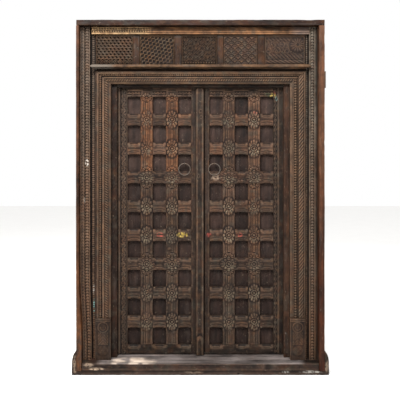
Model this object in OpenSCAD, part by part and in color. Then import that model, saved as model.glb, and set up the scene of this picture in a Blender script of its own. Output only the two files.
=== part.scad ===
// Carved double door in its own frame, without the wall around it.
// Two pivot-hung leaves of rosette lattice over planks open inwards, behind a moulded casing,
// under a frieze of five carved panels, and above a worn threshold with a horn at each end.
// The origin is on the floor under the middle of the frame: X right, Y to the back, Z up.

/* [Lattice] */
// Width of one sunk cell between the bars
cell_w = 92; // [88:1:94]
// Height of one sunk cell
cell_h = 116.5; // [112:0.5:120]
// Width of every lattice bar
bar_w = 85; // [82:1:90]
// Thickness of the lattice in front of the planks
bar_t = 32; // [28:1:34]
// Width between the inner cells of the two leaves
middle_w = 127; // [122:1:134]
// Size of the stopped chamfer along each side of a cell
chamfer = 6; // [3:0.5:8]
// Outer radius of a carved rosette
rosette_r = 35; // [28:1:37]

/* [Leaves] */
// Thickness of the planks behind the lattice
plank_t = 24; // [20:1:26]
// Height of the bottom rail
bottom_rail_h = 64; // [55:1:75]
// Height of the top rail, part of which the header hides
top_rail_h = 104.5; // [90:0.5:120]
// Width of the hanging stile, from the outer cell to the pivot's centre
stile_w = 80.5; // [75:0.5:90]
// Thickness of the ledges across the back
ledge_t = 24; // [18:1:28]
// Height of each back ledge
ledge_h = 90; // [70:1:110]
// Width of the strip that covers the meeting of the leaves
astragal_w = 62; // [54:1:66]
// How far that strip stands in front of the lattice
astragal_t = 20; // [14:1:22]
// Gap between the two leaves
meeting_gap = 5; // [4:0.5:8]
// How far the leaves are open, for looking at the part (the stored part is closed)
open_angle = 0; // [0:1:90]

/* [Pivots and pulls] */
// Radius of the iron pivot pins
pin_r = 12; // [10:0.5:14]
// Radial clearance of a pin in its socket
pin_play = 0.08; // [0.05:0.01:0.1]
// Radius of a ring pull, to the middle of its wire
ring_r = 40.5; // [36:0.5:44]
// Radius of the ring's wire
wire_r = 4; // [3:0.5:5]

/* [Frame] */
// Depth of the frame, front to back
frame_d = 230; // [225:1:260]
// Thickness of the plain boards round the outside
board_t = 38; // [30:1:45]
// Width of the carved band on the posts
band_w = 57; // [50:1:65]
// Width of the dark recess between the band and the casing
recess_w = 25; // [18:1:30]
// Width of the moulded casing beside the doorway
casing_w = 108; // [100:1:116]
// Height of the moulded casing over the doorway
header_h = 89; // [80:1:98]
// Height of the projecting ledge over the header
transom_h = 28; // [22:1:34]
// Height of the frieze panels
frieze_h = 209; // [190:1:225]
// Height of the carved head beam
head_h = 49; // [40:1:60]
// Height of the carved block at the foot of each casing
base_block_h = 275; // [250:1:300]

/* [Threshold] */
// Height of the threshold's front edge
sill_front_h = 78; // [70:1:84]
// Height of the threshold under the leaves
sill_back_h = 95; // [90:1:100]
// How far each horn of the threshold stands out past the frame
horn_w = 30; // [20:1:40]
// Height of the horns
horn_h = 155; // [140:1:170]

/* [Hidden] */
$fn = 48;
columns = 3;
rows = 9;
LEFT = -1;
RIGHT = 1;

// Lattice grid, measured outwards from the middle of the door and upwards from the leaf's foot
pitch_x = cell_w + bar_w;
pitch_z = cell_h + bar_w;
cell_x0 = middle_w / 2;
cell_x1 = cell_x0 + columns * cell_w + (columns - 1) * bar_w;
leaf_gap = 5;
leaf_z0 = sill_back_h + leaf_gap;
cell_z0 = leaf_z0 + bottom_rail_h;
cell_z1 = cell_z0 + rows * cell_h + (rows - 1) * bar_w;
leaf_z1 = cell_z1 + top_rail_h;
through_rows = [2, 5];
section_rows = 3;

// Depths, front (negative) to back
front = -frame_d / 2;
back = frame_d / 2;
leaf_front = 25;
plank_front = leaf_front + bar_t;
plank_back = plank_front + plank_t;
ledge_back = plank_back + ledge_t;
stop_back = leaf_front - 3;
band_front = -60;
recess_floor = -22;
casing_back = -20;
casing_t = 30;
bead_t = 6;
block_front = -62;
panel_front = -38;
panel_back = -2;
transom_front = -92;

// Widths, from the middle outwards
pivot_x = cell_x1 + stile_w;
pivot_r = (bar_t + plank_t) / 2;
pivot_y = leaf_front + pivot_r;
plank_x1 = cell_x1 + 30.5;
leaf_x1 = pivot_x + pivot_r;
jamb_in = leaf_x1 - 43;
jamb_rear_in = leaf_x1 + 4;
casing_in = jamb_in + 37;
casing_out = casing_in + casing_w;
band_in = casing_out + recess_w;
band_out = band_in + band_w;
frame_x = band_out + board_t;
horn_x = frame_x + horn_w;
astragal_x = -4;
meeting_left = astragal_x + astragal_w / 2;
meeting_right = meeting_left + meeting_gap;

// Heights
header_z0 = leaf_z1 - 25;
header_z1 = header_z0 + header_h;
stop_z0 = header_z0 - 17;
door_head_z0 = leaf_z1 + leaf_gap;
transom_z0 = header_z1 + 15;
frieze_z0 = transom_z0 + transom_h;
head_z0 = frieze_z0 + frieze_h;
top_board_z0 = head_z0 + head_h;
total_h = top_board_z0 + board_t;
base_block_z1 = sill_back_h + base_block_h;
board_toe_z = 27;
board_toe_y = front + 40;

// Frieze, left to right: panel widths and the plain blocks between them
panel_share = [258, 240, 244, 236, 277];
block_share = [43, 51, 42, 49];
frieze_scale = 2 * casing_out / (sum(panel_share) + sum(block_share));

// Iron
socket_r = 22;
pin_len = 94;
socket_depth = 35;
eye_y = leaf_front - wire_r - 0.5;
ring_row = 6;
ring_z = cell_z(ring_row) - 4;
ring_x = [111, 97];
eye_bore_r = wire_r + 0.6;
ledge_rows = [0.45, 3, 6, 8.6];

// Wood and iron colours
old_wood = [0.38, 0.31, 0.26];
dark_wood = [0.27, 0.22, 0.19];
warm_wood = [0.47, 0.33, 0.24];
board_wood = [0.45, 0.31, 0.22];
pale_wood = [0.44, 0.37, 0.33];
iron = [0.20, 0.19, 0.19];

function sum(list, i = 0) = i < len(list) ? list[i] + sum(list, i + 1) : 0;
function head_of(list, n) = [for (i = [0 : 1 : n - 1]) list[i]];
function arc(cx, cy, rx, ry, from, to, steps) =
    [for (i = [0 : steps]) let (a = from + (to - from) * i / steps) [cx + rx * cos(a), cy + ry * sin(a)]];
function bar_z(row) = cell_z0 + (row + 1) * pitch_z - bar_w / 2;
function cell_z(row) = cell_z0 + row * pitch_z + cell_h / 2;
function bar_x(column) = cell_x0 + (column + 1) * pitch_x - bar_w / 2;
function cell_x(column) = cell_x0 + column * pitch_x + cell_w / 2;
function meeting_u(side) = side == LEFT ? -meeting_left : meeting_right;

// A box between two corners
module block(x, y, z) {
    translate([x[0], y[0], z[0]]) cube([x[1] - x[0], y[1] - y[0], z[1] - z[0]]);
}

// An outline in X and Z, made solid from depth y0 to y1
module slab_xz(y0, y1) {
    translate([0, y1, 0]) rotate([90, 0, 0]) linear_extrude(y1 - y0) children();
}

// An outline in Y and Z, made solid from x0 to x1
module slab_yz(x0, x1) {
    translate([x0, 0, 0]) rotate([90, 0, 90]) linear_extrude(x1 - x0) children();
}

// Left pieces are the right ones mirrored
module on_side(side) {
    if (side == LEFT) mirror([1, 0, 0]) children();
    else children();
}

// A leaf's pieces swing about its pivot
module swung(side) {
    translate([side * pivot_x, pivot_y, 0]) rotate([0, 0, -side * open_angle])
        translate([-side * pivot_x, -pivot_y, 0]) children();
}

// ---- Threshold ----

module sill_section() {
    nose = 10;
    polygon(concat([[back, 0], [front + 3, 0]],
        arc(front + 3 + nose, sill_front_h - nose, nose, nose, 180, 98, 5),
        [[leaf_front - 5, sill_back_h], [back, sill_back_h]]));
}

// All that lies under the threshold's top face, for fitting the foot of a post to its slope
module below_sill() {
    slab_yz(-horn_x - 1, horn_x + 1) sill_section();
}

module horn_outline() {
    foot = 6;
    polygon(concat([[band_out, 0], [horn_x - foot, 0]],
        arc(horn_x - foot, foot, foot, foot, -90, 0, 4),
        arc(frame_x, horn_h / 2, horn_w, horn_h / 2, 0, 90, 10),
        [[band_out, horn_h]]));
}

module threshold() color(pale_wood) difference() {
    union() {
        slab_yz(-band_out - 1, band_out + 1) sill_section();
        for (side = [LEFT, RIGHT]) on_side(side) slab_xz(front + 3, back) horn_outline();
    }
    for (side = [LEFT, RIGHT]) on_side(side) {
        block([band_out, frame_x], [front - 1, board_toe_y], [board_toe_z, horn_h + 1]);
        translate([pivot_x, pivot_y, sill_back_h - socket_depth])
            cylinder(r = socket_r, h = socket_depth + 1);
    }
}

// ---- Frame ----

module post() color(old_wood) difference() {
    linear_extrude(top_board_z0) polygon([[casing_out, back], [band_out, back], [band_out, band_front],
        [band_in, band_front], [band_in, recess_floor], [casing_out, recess_floor]]);
    below_sill();
    bead_groove(band_in + 12, top_board_z0);
    bead_groove(band_out - 12, top_board_z0);
}

// A V groove up the face of the carved band
module bead_groove(x, height) {
    depth = 3;
    linear_extrude(height + 1)
        polygon([[x - depth, band_front - 1], [x + depth, band_front - 1], [x, band_front + depth]]);
}

module left_post() on_side(LEFT) post();
module right_post() post();

// The head beam stands between the posts, and its carved front laps into their rebates
module head_beam() color(warm_wood) difference() {
    union() {
        block([-casing_out, casing_out], [recess_floor, back], [head_z0, top_board_z0]);
        block([-band_in, band_in], [band_front, recess_floor], [head_z0, top_board_z0]);
    }
    block([-band_in - 1, band_in + 1], [band_front - 1, band_front + 2], [head_z0 + 9, head_z0 + 12]);
}

module door_head() color(dark_wood) difference() {
    block([-casing_out, casing_out], [casing_back, back], [door_head_z0, frieze_z0]);
    for (side = [LEFT, RIGHT]) on_side(side) translate([pivot_x, pivot_y, door_head_z0 - 1])
        cylinder(r = socket_r, h = socket_depth + 1);
}

module top_surround_board() color(board_wood)
    block([-frame_x, frame_x], [front, back], [top_board_z0, total_h]);

// The toe at the front runs down in a housing cut in the threshold's face
module surround_board() color(board_wood) difference() {
    union() {
        block([band_out, frame_x], [front, back], [horn_h, top_board_z0]);
        block([band_out, frame_x - 1], [front, board_toe_y], [board_toe_z, horn_h]);
    }
    at_board_nails() cylinder(r = nail_head_r + 0.4, h = nail_head_t + 1);
}

module left_surround_board() on_side(LEFT) surround_board();
module right_surround_board() surround_board();

module frieze_back_board() color(dark_wood)
    block([-casing_out, casing_out], [panel_back, panel_back + 22], [frieze_z0, head_z0]);

function panel_x(i) = frieze_scale * (sum(head_of(panel_share, i)) + sum(head_of(block_share, i)))
    - casing_out;

module frieze_panel(i) {
    x0 = panel_x(i);
    x1 = x0 + panel_share[i] * frieze_scale;
    margin = 7;
    sunk = 4;
    color(old_wood) difference() {
        block([x0, x1], [panel_front, panel_back], [frieze_z0, head_z0]);
        block([x0 + margin, x1 - margin], [panel_front - 1, panel_front + sunk],
            [frieze_z0 + margin, head_z0 - 2 * margin]);
    }
}

module frieze_block(i) {
    x0 = panel_x(i) + panel_share[i] * frieze_scale;
    color(warm_wood)
        block([x0, x0 + block_share[i] * frieze_scale], [panel_front - 3, panel_back], [frieze_z0, head_z0]);
}

module frieze_panel_1() frieze_panel(0);
module frieze_panel_2() frieze_panel(1);
module frieze_panel_3() frieze_panel(2);
module frieze_panel_4() frieze_panel(3);
module frieze_panel_5() frieze_panel(4);
module frieze_block_1() frieze_block(0);
module frieze_block_2() frieze_block(1);
module frieze_block_3() frieze_block(2);
module frieze_block_4() frieze_block(3);

// The nosing in front is longer than the ledge, and pointed where it laps over the posts
module transom_ledge() {
    tip = 17;
    mid = (transom_z0 + frieze_z0) / 2;
    color(warm_wood) {
        block([-casing_out, casing_out], [band_front, casing_back], [transom_z0, frieze_z0]);
        slab_xz(transom_front, band_front) polygon([[-band_in + tip / 2, transom_z0],
            [band_in - tip / 2, transom_z0], [band_in + tip / 2, mid],
            [band_in - tip / 2, frieze_z0], [-band_in + tip / 2, frieze_z0],
            [-band_in - tip / 2, mid]]);
    }
}

// Across the casing from its outer edge: a fillet, a carved bead, a dotted groove, a fillet, a
// wider bead and a plain margin, as [distance across, height above the casing's back]
function casing_section(w) = let (k = w / 108) concat(
    [[0, 0], [0, casing_t], [24 * k, casing_t]],
    arc(32 * k, casing_t, 8 * k, bead_t, 180, 0, 6),
    [[41 * k, casing_t], [43 * k, casing_t - bead_t], [47 * k, casing_t - bead_t],
        [49 * k, casing_t], [63 * k, casing_t]],
    arc(77 * k, casing_t, 13 * k, bead_t, 180, 0, 6),
    [[91 * k, casing_t], [104 * k, casing_t], [w, casing_t - 5], [w, 0]]);

module casing() color(old_wood) intersection() {
    linear_extrude(header_z1)
        polygon([for (p = casing_section(casing_w)) [casing_out - p[0], casing_back - p[1]]]);
    slab_xz(front, back) polygon([[casing_in, base_block_z1], [casing_out, base_block_z1],
        [casing_out, header_z1], [casing_in, header_z0]]);
}

module left_casing() on_side(LEFT) casing();
module right_casing() casing();

module casing_header() color(old_wood) intersection() {
    slab_yz(-casing_out, casing_out)
        polygon([for (p = casing_section(header_h)) [casing_back - p[1], header_z1 - p[0]]]);
    slab_xz(front, back) polygon([[-casing_in, header_z0], [casing_in, header_z0],
        [casing_out, header_z1], [-casing_out, header_z1]]);
}

// A carved foot: a niche with a round pot under a bowl
module base_block() {
    mid = (casing_in + casing_out) / 2;
    niche = casing_w / 2 - 14;
    niche_z0 = sill_back_h + 22;
    niche_z1 = base_block_z1 - 60;
    sunk = 7;
    floor_y = block_front + sunk;
    color(old_wood) difference() {
        union() {
            difference() {
                block([casing_in, casing_out], [block_front, casing_back], [0, base_block_z1]);
                slab_xz(block_front - 1, floor_y) {
                    translate([mid - niche, niche_z0]) square([2 * niche, niche_z1 - niche_z0]);
                    translate([mid, niche_z1]) circle(niche);
                }
            }
            turned(mid, floor_y, niche_z0 + 34, 30, sunk);
            turned(mid, floor_y, niche_z0 + 34, 15, sunk + 3);
            slab_xz(block_front, floor_y) polygon(concat([[mid - 26, niche_z1]],
                arc(mid, niche_z1, 26, 22, 180, 360, 12)));
        }
        below_sill();
    }
}

// A round boss of radius r on a front face at depth y, standing h out of it
module turned(x, y, z, r, h) {
    translate([x, y, z]) rotate([90, 0, 0]) cylinder(r = r, h = h);
}

module left_base_block() on_side(LEFT) base_block();
module right_base_block() base_block();

// The front part is the stop that a leaf closes against, and the rear part leaves room for the
// round edge of the hanging stile
module jamb() color(warm_wood) difference() {
    linear_extrude(door_head_z0) polygon([[jamb_in, casing_back], [casing_out, casing_back],
        [casing_out, back], [jamb_rear_in, back], [jamb_rear_in, stop_back], [jamb_in, stop_back]]);
    below_sill();
}

module left_jamb() on_side(LEFT) jamb();
module right_jamb() jamb();

module head_stop() color(dark_wood)
    block([-jamb_in, jamb_in], [casing_back, stop_back], [stop_z0, door_head_z0]);

// ---- Iron of the frame ----

strap_z = [header_z0 - 31, header_z0 + 80];
strap_y = [front + 10, front + 42];
strap_t = 8;

module side_strap() color(iron) difference() {
    block([frame_x, frame_x + strap_t], strap_y, strap_z);
    for (z = [strap_z[0] + 18, strap_z[1] - 18])
        translate([frame_x - 1, (strap_y[0] + strap_y[1]) / 2, z]) rotate([0, 90, 0])
            cylinder(r = nail_r, h = strap_t + 2);
}

module socket(z) {
    difference() {
        translate([0, 0, z]) cylinder(r = socket_r, h = socket_depth);
        translate([0, 0, z + 5]) cylinder(r = pin_r + pin_play, h = socket_depth);
    }
}

module bottom_sockets() color(iron) for (side = [LEFT, RIGHT])
    on_side(side) translate([pivot_x, pivot_y, 0]) socket(sill_back_h - socket_depth);

module top_sockets() color(iron) for (side = [LEFT, RIGHT])
    on_side(side) translate([pivot_x, pivot_y, 2 * door_head_z0 + socket_depth]) mirror([0, 0, 1])
        socket(door_head_z0);

nail_r = 2.2;
nail_head_r = 6;
nail_head_t = 2.5;

// A hand-made nail along -Z: its head stands on the surface at z = 0
module nail(length) {
    cylinder(r1 = nail_head_r, r2 = nail_head_r * 0.6, h = nail_head_t);
    translate([0, 0, -length]) cylinder(r = nail_r, h = length + 0.1);
}

// The nails of a side board, which are driven in until their heads lie below its face
module at_board_nails() {
    for (z = [420 : 440 : 2180])
        translate([frame_x - nail_head_t - 0.2, 10, z]) rotate([0, 90, 0]) children();
}

module frame_nails() color(iron) {
    for (side = [LEFT, RIGHT]) on_side(side) at_board_nails() nail(57);
    for (z = [strap_z[0] + 18, strap_z[1] - 18])
        translate([frame_x + strap_t, (strap_y[0] + strap_y[1]) / 2, z]) rotate([0, 90, 0]) nail(50);
    translate([jamb_in + 14, casing_back, 256]) rotate([90, 0, 0]) nail(35);
}

// ---- Leaves ----
// A leaf's pieces are drawn for the right-hand side. The left leaf reaches past the middle of
// the door as far as the astragal does, so its meeting edge is on the far side of x = 0.

// Cuts the front edge that ends at [x, z]: a stopped chamfer of a given length along X or Z
module chamfer_x(x, z, length) {
    translate([x - length / 2, leaf_front, z]) rotate([45, 0, 0])
        translate([0, -chamfer / sqrt(2), -chamfer / sqrt(2)])
            cube([length, chamfer * sqrt(2), chamfer * sqrt(2)]);
}

module chamfer_z(x, z, length) {
    translate([x, leaf_front, z - length / 2]) rotate([0, 0, 45])
        translate([-chamfer / sqrt(2), -chamfer / sqrt(2), 0])
            cube([chamfer * sqrt(2), chamfer * sqrt(2), length]);
}

// Chamfers of the cells beside an upright edge at x
module side_chamfers(x, first, last) {
    for (row = [first : last]) chamfer_z(x, cell_z(row), cell_h - 24);
}

// Chamfers of the cells along a level edge at z
module level_chamfers(z) {
    for (column = [0 : columns - 1]) chamfer_x(cell_x(column), z, cell_w - 20);
}

// A turned flower: rim, hollow, ring and boss
module rosette(x, z) {
    rise = 7;
    translate([x, leaf_front, z]) rotate([90, 0, 0]) rotate_extrude()
        polygon([[0, -1], [rosette_r, -1], [rosette_r, rise * 0.5], [rosette_r * 0.86, rise * 0.8],
            [rosette_r * 0.55, rise * 0.45], [rosette_r * 0.45, rise], [rosette_r * 0.3, rise],
            [rosette_r * 0.24, rise * 0.5], [rosette_r * 0.12, rise * 1.1], [0, rise * 1.1]]);
}

module hanging_stile() color(old_wood) difference() {
    union() {
        block([cell_x1, pivot_x], [leaf_front, plank_front], [leaf_z0, leaf_z1]);
        block([plank_x1, pivot_x], [leaf_front, plank_back], [leaf_z0, leaf_z1]);
        translate([pivot_x, pivot_y, leaf_z0]) cylinder(r = pivot_r, h = leaf_z1 - leaf_z0);
    }
    side_chamfers(cell_x1, 0, rows - 1);
    pin_holes();
}

module pin_holes() {
    depth = pin_len / 2 + 13;
    for (z = [leaf_z0 - 1, leaf_z1 - depth])
        translate([pivot_x, pivot_y, z]) cylinder(r = pin_r, h = depth + 1);
}

// The bottom pin turns in the threshold's socket and the top one in the door head's
module pivot_pins() color(iron) {
    depth = pin_len / 2 + 13;
    drop = leaf_gap + socket_depth - 6;
    translate([pivot_x, pivot_y, leaf_z0 - drop]) cylinder(r = pin_r, h = depth + drop);
    translate([pivot_x, pivot_y, leaf_z1 - depth]) cylinder(r = pin_r, h = depth + drop);
}

module meeting_stile(side) color(old_wood) difference() {
    block([meeting_u(side), cell_x0], [leaf_front, plank_front], [leaf_z0, leaf_z1]);
    side_chamfers(cell_x0, 0, rows - 1);
}

module rail(z0, z1) color(old_wood) difference() {
    block([cell_x0, cell_x1], [leaf_front, plank_front], [z0, z1]);
    if (z0 > cell_z0 - 1) level_chamfers(z0);
    if (z1 < cell_z1 + 1) level_chamfers(z1);
}

module through_rail(row) color(old_wood) {
    rail(bar_z(row) - bar_w / 2, bar_z(row) + bar_w / 2);
    for (column = [0 : columns - 2]) rosette(bar_x(column), bar_z(row));
}

// Three lifts of two uprights, each carved with the rosettes of the crossings it passes
module uprights() color(warm_wood)
    for (first = [0 : section_rows : rows - 1], column = [0 : columns - 2]) difference() {
        union() {
            translate([bar_x(column) - bar_w / 2, leaf_front, cell_z(first) - cell_h / 2])
                cube([bar_w, bar_t, section_rows * pitch_z - bar_w]);
            for (row = [first : first + section_rows - 2]) rosette(bar_x(column), bar_z(row));
        }
        for (edge = [-1, 1])
            side_chamfers(bar_x(column) + edge * bar_w / 2, first, first + section_rows - 1);
    }

// Short bars let in between the uprights
module crossbars() color(old_wood)
    for (row = [0 : rows - 2]) if (row != through_rows[0] && row != through_rows[1])
        for (column = [0 : columns - 1]) difference() {
            translate([cell_x(column) - cell_w / 2, leaf_front, bar_z(row) - bar_w / 2])
                cube([cell_w, bar_t, bar_w]);
            for (edge = [-1, 1])
                chamfer_x(cell_x(column), bar_z(row) + edge * bar_w / 2, cell_w - 20);
        }

module planks(side) color(dark_wood) {
    u0 = meeting_u(side);
    plank_w = (plank_x1 - u0) / 3;
    for (i = [0 : 2])
        block([u0 + i * plank_w + (i > 0 ? 1 : 0), u0 + (i + 1) * plank_w],
            [plank_front, plank_back], [leaf_z0, leaf_z1]);
}

function ledge_z(i) = cell_z0 + ledge_rows[i] * pitch_z - bar_w / 2;
ledge_x1 = pivot_x - 80;

module back_ledges(side) color(dark_wood)
    for (i = [0 : len(ledge_rows) - 1])
        block([meeting_u(side) + 12, ledge_x1], [plank_back, ledge_back],
            [ledge_z(i) - ledge_h / 2, ledge_z(i) + ledge_h / 2]);

module leaf_nails(side) color(iron) {
    u0 = meeting_u(side);
    plank_w = (plank_x1 - u0) / 3;
    for (i = [0 : len(ledge_rows) - 1], plank = [0 : 2], edge = [-1, 1])
        translate([u0 + (plank + 0.5) * plank_w - 12 + edge * 35, ledge_back,
            ledge_z(i) + edge * ledge_h / 4])
            rotate([-90, 0, 0]) nail(44);
}

// The strip over the meeting of the leaves, from under the head stop down to a rounded foot
module astragal() swung(LEFT) color(old_wood) {
    x0 = astragal_x - astragal_w / 2;
    x1 = astragal_x + astragal_w / 2;
    z0 = sill_back_h + 2;
    foot_h = 134;
    foot_t = 5;
    foot_r = astragal_w / 2 - 6;
    y1 = leaf_front - astragal_t;
    translate([0, 0, z0]) linear_extrude(stop_z0 - 3 - z0)
        polygon([[x0, leaf_front], [x0, y1 + 7], [x0 + 9, y1], [x1 - 9, y1], [x1, y1 + 7], [x1, leaf_front]]);
    slab_xz(y1 - foot_t, y1 + 8) {
        translate([astragal_x - foot_r, z0]) square([2 * foot_r, foot_h - foot_r]);
        translate([astragal_x, z0 + foot_h - foot_r]) circle(foot_r);
    }
}

// An iron eye on a shank driven through the plank, its two ends bent over behind
module ring_staple(u) color(iron) translate([u, eye_y, ring_z]) {
    eye_r = eye_bore_r + 5;
    shank_end = plank_back - eye_y;
    leg = 15;
    rotate([0, 90, 0]) rotate_extrude() polygon(concat([[eye_bore_r, -2.5]],
        arc(eye_r - 2.5, 0, 2.5, 2.5, -90, 90, 8), [[eye_bore_r, 2.5]]));
    translate([0, eye_r - 1.5, 0]) rotate([-90, 0, 0]) cylinder(r = 3.5, h = shank_end + 2.5 - eye_r + 1.5);
    translate([0, shank_end + 2.5, -leg]) cylinder(r = 2.5, h = 2 * leg);
}

// The ring hangs from its eye, in front of the rail below
module ring(side) swung(side) color(iron)
    translate([side * ring_x[side == LEFT ? 0 : 1], eye_y, ring_z - ring_r]) rotate([90, 0, 0])
        rotate_extrude($fn = 72) translate([ring_r, 0]) circle(wire_r, $fn = 24);

module left_hanging_stile() swung(LEFT) on_side(LEFT) hanging_stile();
module left_meeting_stile() swung(LEFT) on_side(LEFT) meeting_stile(LEFT);
module left_top_rail() swung(LEFT) on_side(LEFT) rail(cell_z1, leaf_z1);
module left_upper_rail() swung(LEFT) on_side(LEFT) through_rail(through_rows[1]);
module left_lower_rail() swung(LEFT) on_side(LEFT) through_rail(through_rows[0]);
module left_bottom_rail() swung(LEFT) on_side(LEFT) rail(leaf_z0, cell_z0);
module left_uprights() swung(LEFT) on_side(LEFT) uprights();
module left_crossbars() swung(LEFT) on_side(LEFT) crossbars();
module left_planks() swung(LEFT) on_side(LEFT) planks(LEFT);
module left_back_ledges() swung(LEFT) on_side(LEFT) back_ledges(LEFT);
module left_pivot_pins() swung(LEFT) on_side(LEFT) pivot_pins();
module left_ring_staple() swung(LEFT) on_side(LEFT) ring_staple(ring_x[0]);
module left_leaf_nails() swung(LEFT) on_side(LEFT) leaf_nails(LEFT);
module left_ring() ring(LEFT);

module right_hanging_stile() swung(RIGHT) hanging_stile();
module right_meeting_stile() swung(RIGHT) meeting_stile(RIGHT);
module right_top_rail() swung(RIGHT) rail(cell_z1, leaf_z1);
module right_upper_rail() swung(RIGHT) through_rail(through_rows[1]);
module right_lower_rail() swung(RIGHT) through_rail(through_rows[0]);
module right_bottom_rail() swung(RIGHT) rail(leaf_z0, cell_z0);
module right_uprights() swung(RIGHT) uprights();
module right_crossbars() swung(RIGHT) crossbars();
module right_planks() swung(RIGHT) planks(RIGHT);
module right_back_ledges() swung(RIGHT) back_ledges(RIGHT);
module right_pivot_pins() swung(RIGHT) pivot_pins();
module right_ring_staple() swung(RIGHT) ring_staple(ring_x[1]);
module right_leaf_nails() swung(RIGHT) leaf_nails(RIGHT);
module right_ring() ring(RIGHT);

threshold();
left_post();
right_post();
head_beam();
door_head();
top_surround_board();
left_surround_board();
right_surround_board();
frieze_back_board();
frieze_panel_1();
frieze_panel_2();
frieze_panel_3();
frieze_panel_4();
frieze_panel_5();
frieze_block_1();
frieze_block_2();
frieze_block_3();
frieze_block_4();
transom_ledge();
casing_header();
left_casing();
right_casing();
left_base_block();
right_base_block();
left_jamb();
right_jamb();
head_stop();
side_strap();
bottom_sockets();
top_sockets();
frame_nails();
left_hanging_stile();
left_meeting_stile();
left_top_rail();
left_upper_rail();
left_lower_rail();
left_bottom_rail();
left_uprights();
left_crossbars();
left_planks();
left_back_ledges();
left_pivot_pins();
left_ring_staple();
left_leaf_nails();
astragal();
right_hanging_stile();
right_meeting_stile();
right_top_rail();
right_upper_rail();
right_lower_rail();
right_bottom_rail();
right_uprights();
right_crossbars();
right_planks();
right_back_ledges();
right_pivot_pins();
right_ring_staple();
right_leaf_nails();
left_ring();
right_ring();
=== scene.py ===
import math

import bpy
import numpy as np
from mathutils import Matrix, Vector


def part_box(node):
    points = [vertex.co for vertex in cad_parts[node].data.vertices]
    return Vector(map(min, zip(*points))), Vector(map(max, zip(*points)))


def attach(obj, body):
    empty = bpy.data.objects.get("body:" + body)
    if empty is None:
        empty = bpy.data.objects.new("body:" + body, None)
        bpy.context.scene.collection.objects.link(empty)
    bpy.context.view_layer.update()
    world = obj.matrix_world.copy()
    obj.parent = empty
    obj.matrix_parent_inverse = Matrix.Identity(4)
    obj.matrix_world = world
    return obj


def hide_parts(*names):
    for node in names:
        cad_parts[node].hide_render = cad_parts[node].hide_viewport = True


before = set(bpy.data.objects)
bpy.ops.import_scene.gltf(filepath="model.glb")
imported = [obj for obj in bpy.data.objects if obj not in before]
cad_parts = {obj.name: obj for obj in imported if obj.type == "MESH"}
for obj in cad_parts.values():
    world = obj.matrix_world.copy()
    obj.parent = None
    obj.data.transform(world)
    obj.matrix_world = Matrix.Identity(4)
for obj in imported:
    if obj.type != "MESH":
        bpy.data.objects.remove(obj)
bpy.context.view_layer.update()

# Everything below is worked out in millimetres and becomes metres when a mesh is made.
MM = 0.001
LEFT = -1
RIGHT = 1
SIDES = {LEFT: "left", RIGHT: "right"}


# ---- Measures, from the frame ----

def corners(node):
    """Lowest and highest corner of a CAD node, in millimetres."""
    lo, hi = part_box(node)
    return np.array(lo) / MM, np.array(hi) / MM


post_lo, post_hi = corners("right_post")
casing_lo, casing_hi = corners("right_casing")
header_lo, header_hi = corners("casing_header")
base_lo, base_hi = corners("right_base_block")
beam_lo, beam_hi = corners("head_beam")
rail_lo, rail_hi = corners("right_lower_rail")
bottom_lo, bottom_hi = corners("right_bottom_rail")
top_lo, top_hi = corners("right_top_rail")
sill_lo, sill_hi = corners("threshold")
board_lo, board_hi = corners("right_surround_board")
jamb_lo, jamb_hi = corners("right_jamb")
stile_hi = corners("right_hanging_stile")[1]
plank_hi = corners("right_planks")[1]
pin_lo, pin_hi = corners("right_pivot_pins")
socket_hi = corners("bottom_sockets")[1]

back = post_hi[1]
band_front = post_lo[1]
band_in = beam_hi[0]
band_out = post_hi[0]
casing_in = casing_lo[0]
casing_out = casing_hi[0]
casing_w = casing_out - casing_in
casing_back = casing_hi[1]
recess_floor = casing_back - 2
header_h = header_hi[2] - header_lo[2]
sill_back_z = socket_hi[2]
SILL_FALL = 17
sill_front_z = sill_back_z - SILL_FALL
leaf_z0 = bottom_lo[2]
leaf_z1 = top_hi[2]
leaf_front = bottom_lo[1]
plank_front = bottom_hi[1]
plank_back = plank_hi[1]
pivot_x = (pin_lo[0] + pin_hi[0]) / 2
jamb_rear_in = stile_hi[0] + 4
stop_back = leaf_front - 3

# Lattice of a leaf: three columns and nine rows of cells
COLUMNS = 3
ROWS = 9
THROUGH_ROWS = (2, 5)
LIFT_ROWS = 3
cell_x0 = bottom_lo[0]
cell_x1 = bottom_hi[0]
bar_w = rail_hi[2] - rail_lo[2]
cell_w = (cell_x1 - cell_x0 - (COLUMNS - 1) * bar_w) / COLUMNS
cell_z0 = bottom_hi[2]
cell_z1 = top_lo[2]
cell_h = (cell_z1 - cell_z0 - (ROWS - 1) * bar_w) / ROWS
pitch_x = cell_w + bar_w
pitch_z = cell_h + bar_w
rosette_rise = leaf_front - rail_lo[1]


def bar_z(row):
    return cell_z0 + (row + 1) * pitch_z - bar_w / 2


def cell_z(row):
    return cell_z0 + row * pitch_z + cell_h / 2


def bar_x(column):
    return cell_x0 + (column + 1) * pitch_x - bar_w / 2


def cell_x(column):
    return cell_x0 + column * pitch_x + cell_w / 2


# ---- Small number helpers ----

def smooth(t):
    t = np.clip(t, 0, 1)
    return t * t * (3 - 2 * t)


def dome(d):
    """1 at d = 0, falling as a half circle to 0 at d = 1."""
    return np.sqrt(np.clip(1 - d * d, 0, 1))


def lobe(t):
    """Rounded lobes, one for each whole number of t, with sharp valleys between."""
    return np.abs(np.sin(np.pi * t)) ** 0.6


def centred(t):
    """Distance of t from the nearest whole number, with its sign."""
    return t - np.round(t)


def ridge(d, width):
    return np.exp(-(d / width) ** 2)


def inside(value, low, high):
    return (value > low) & (value < high)


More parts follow.
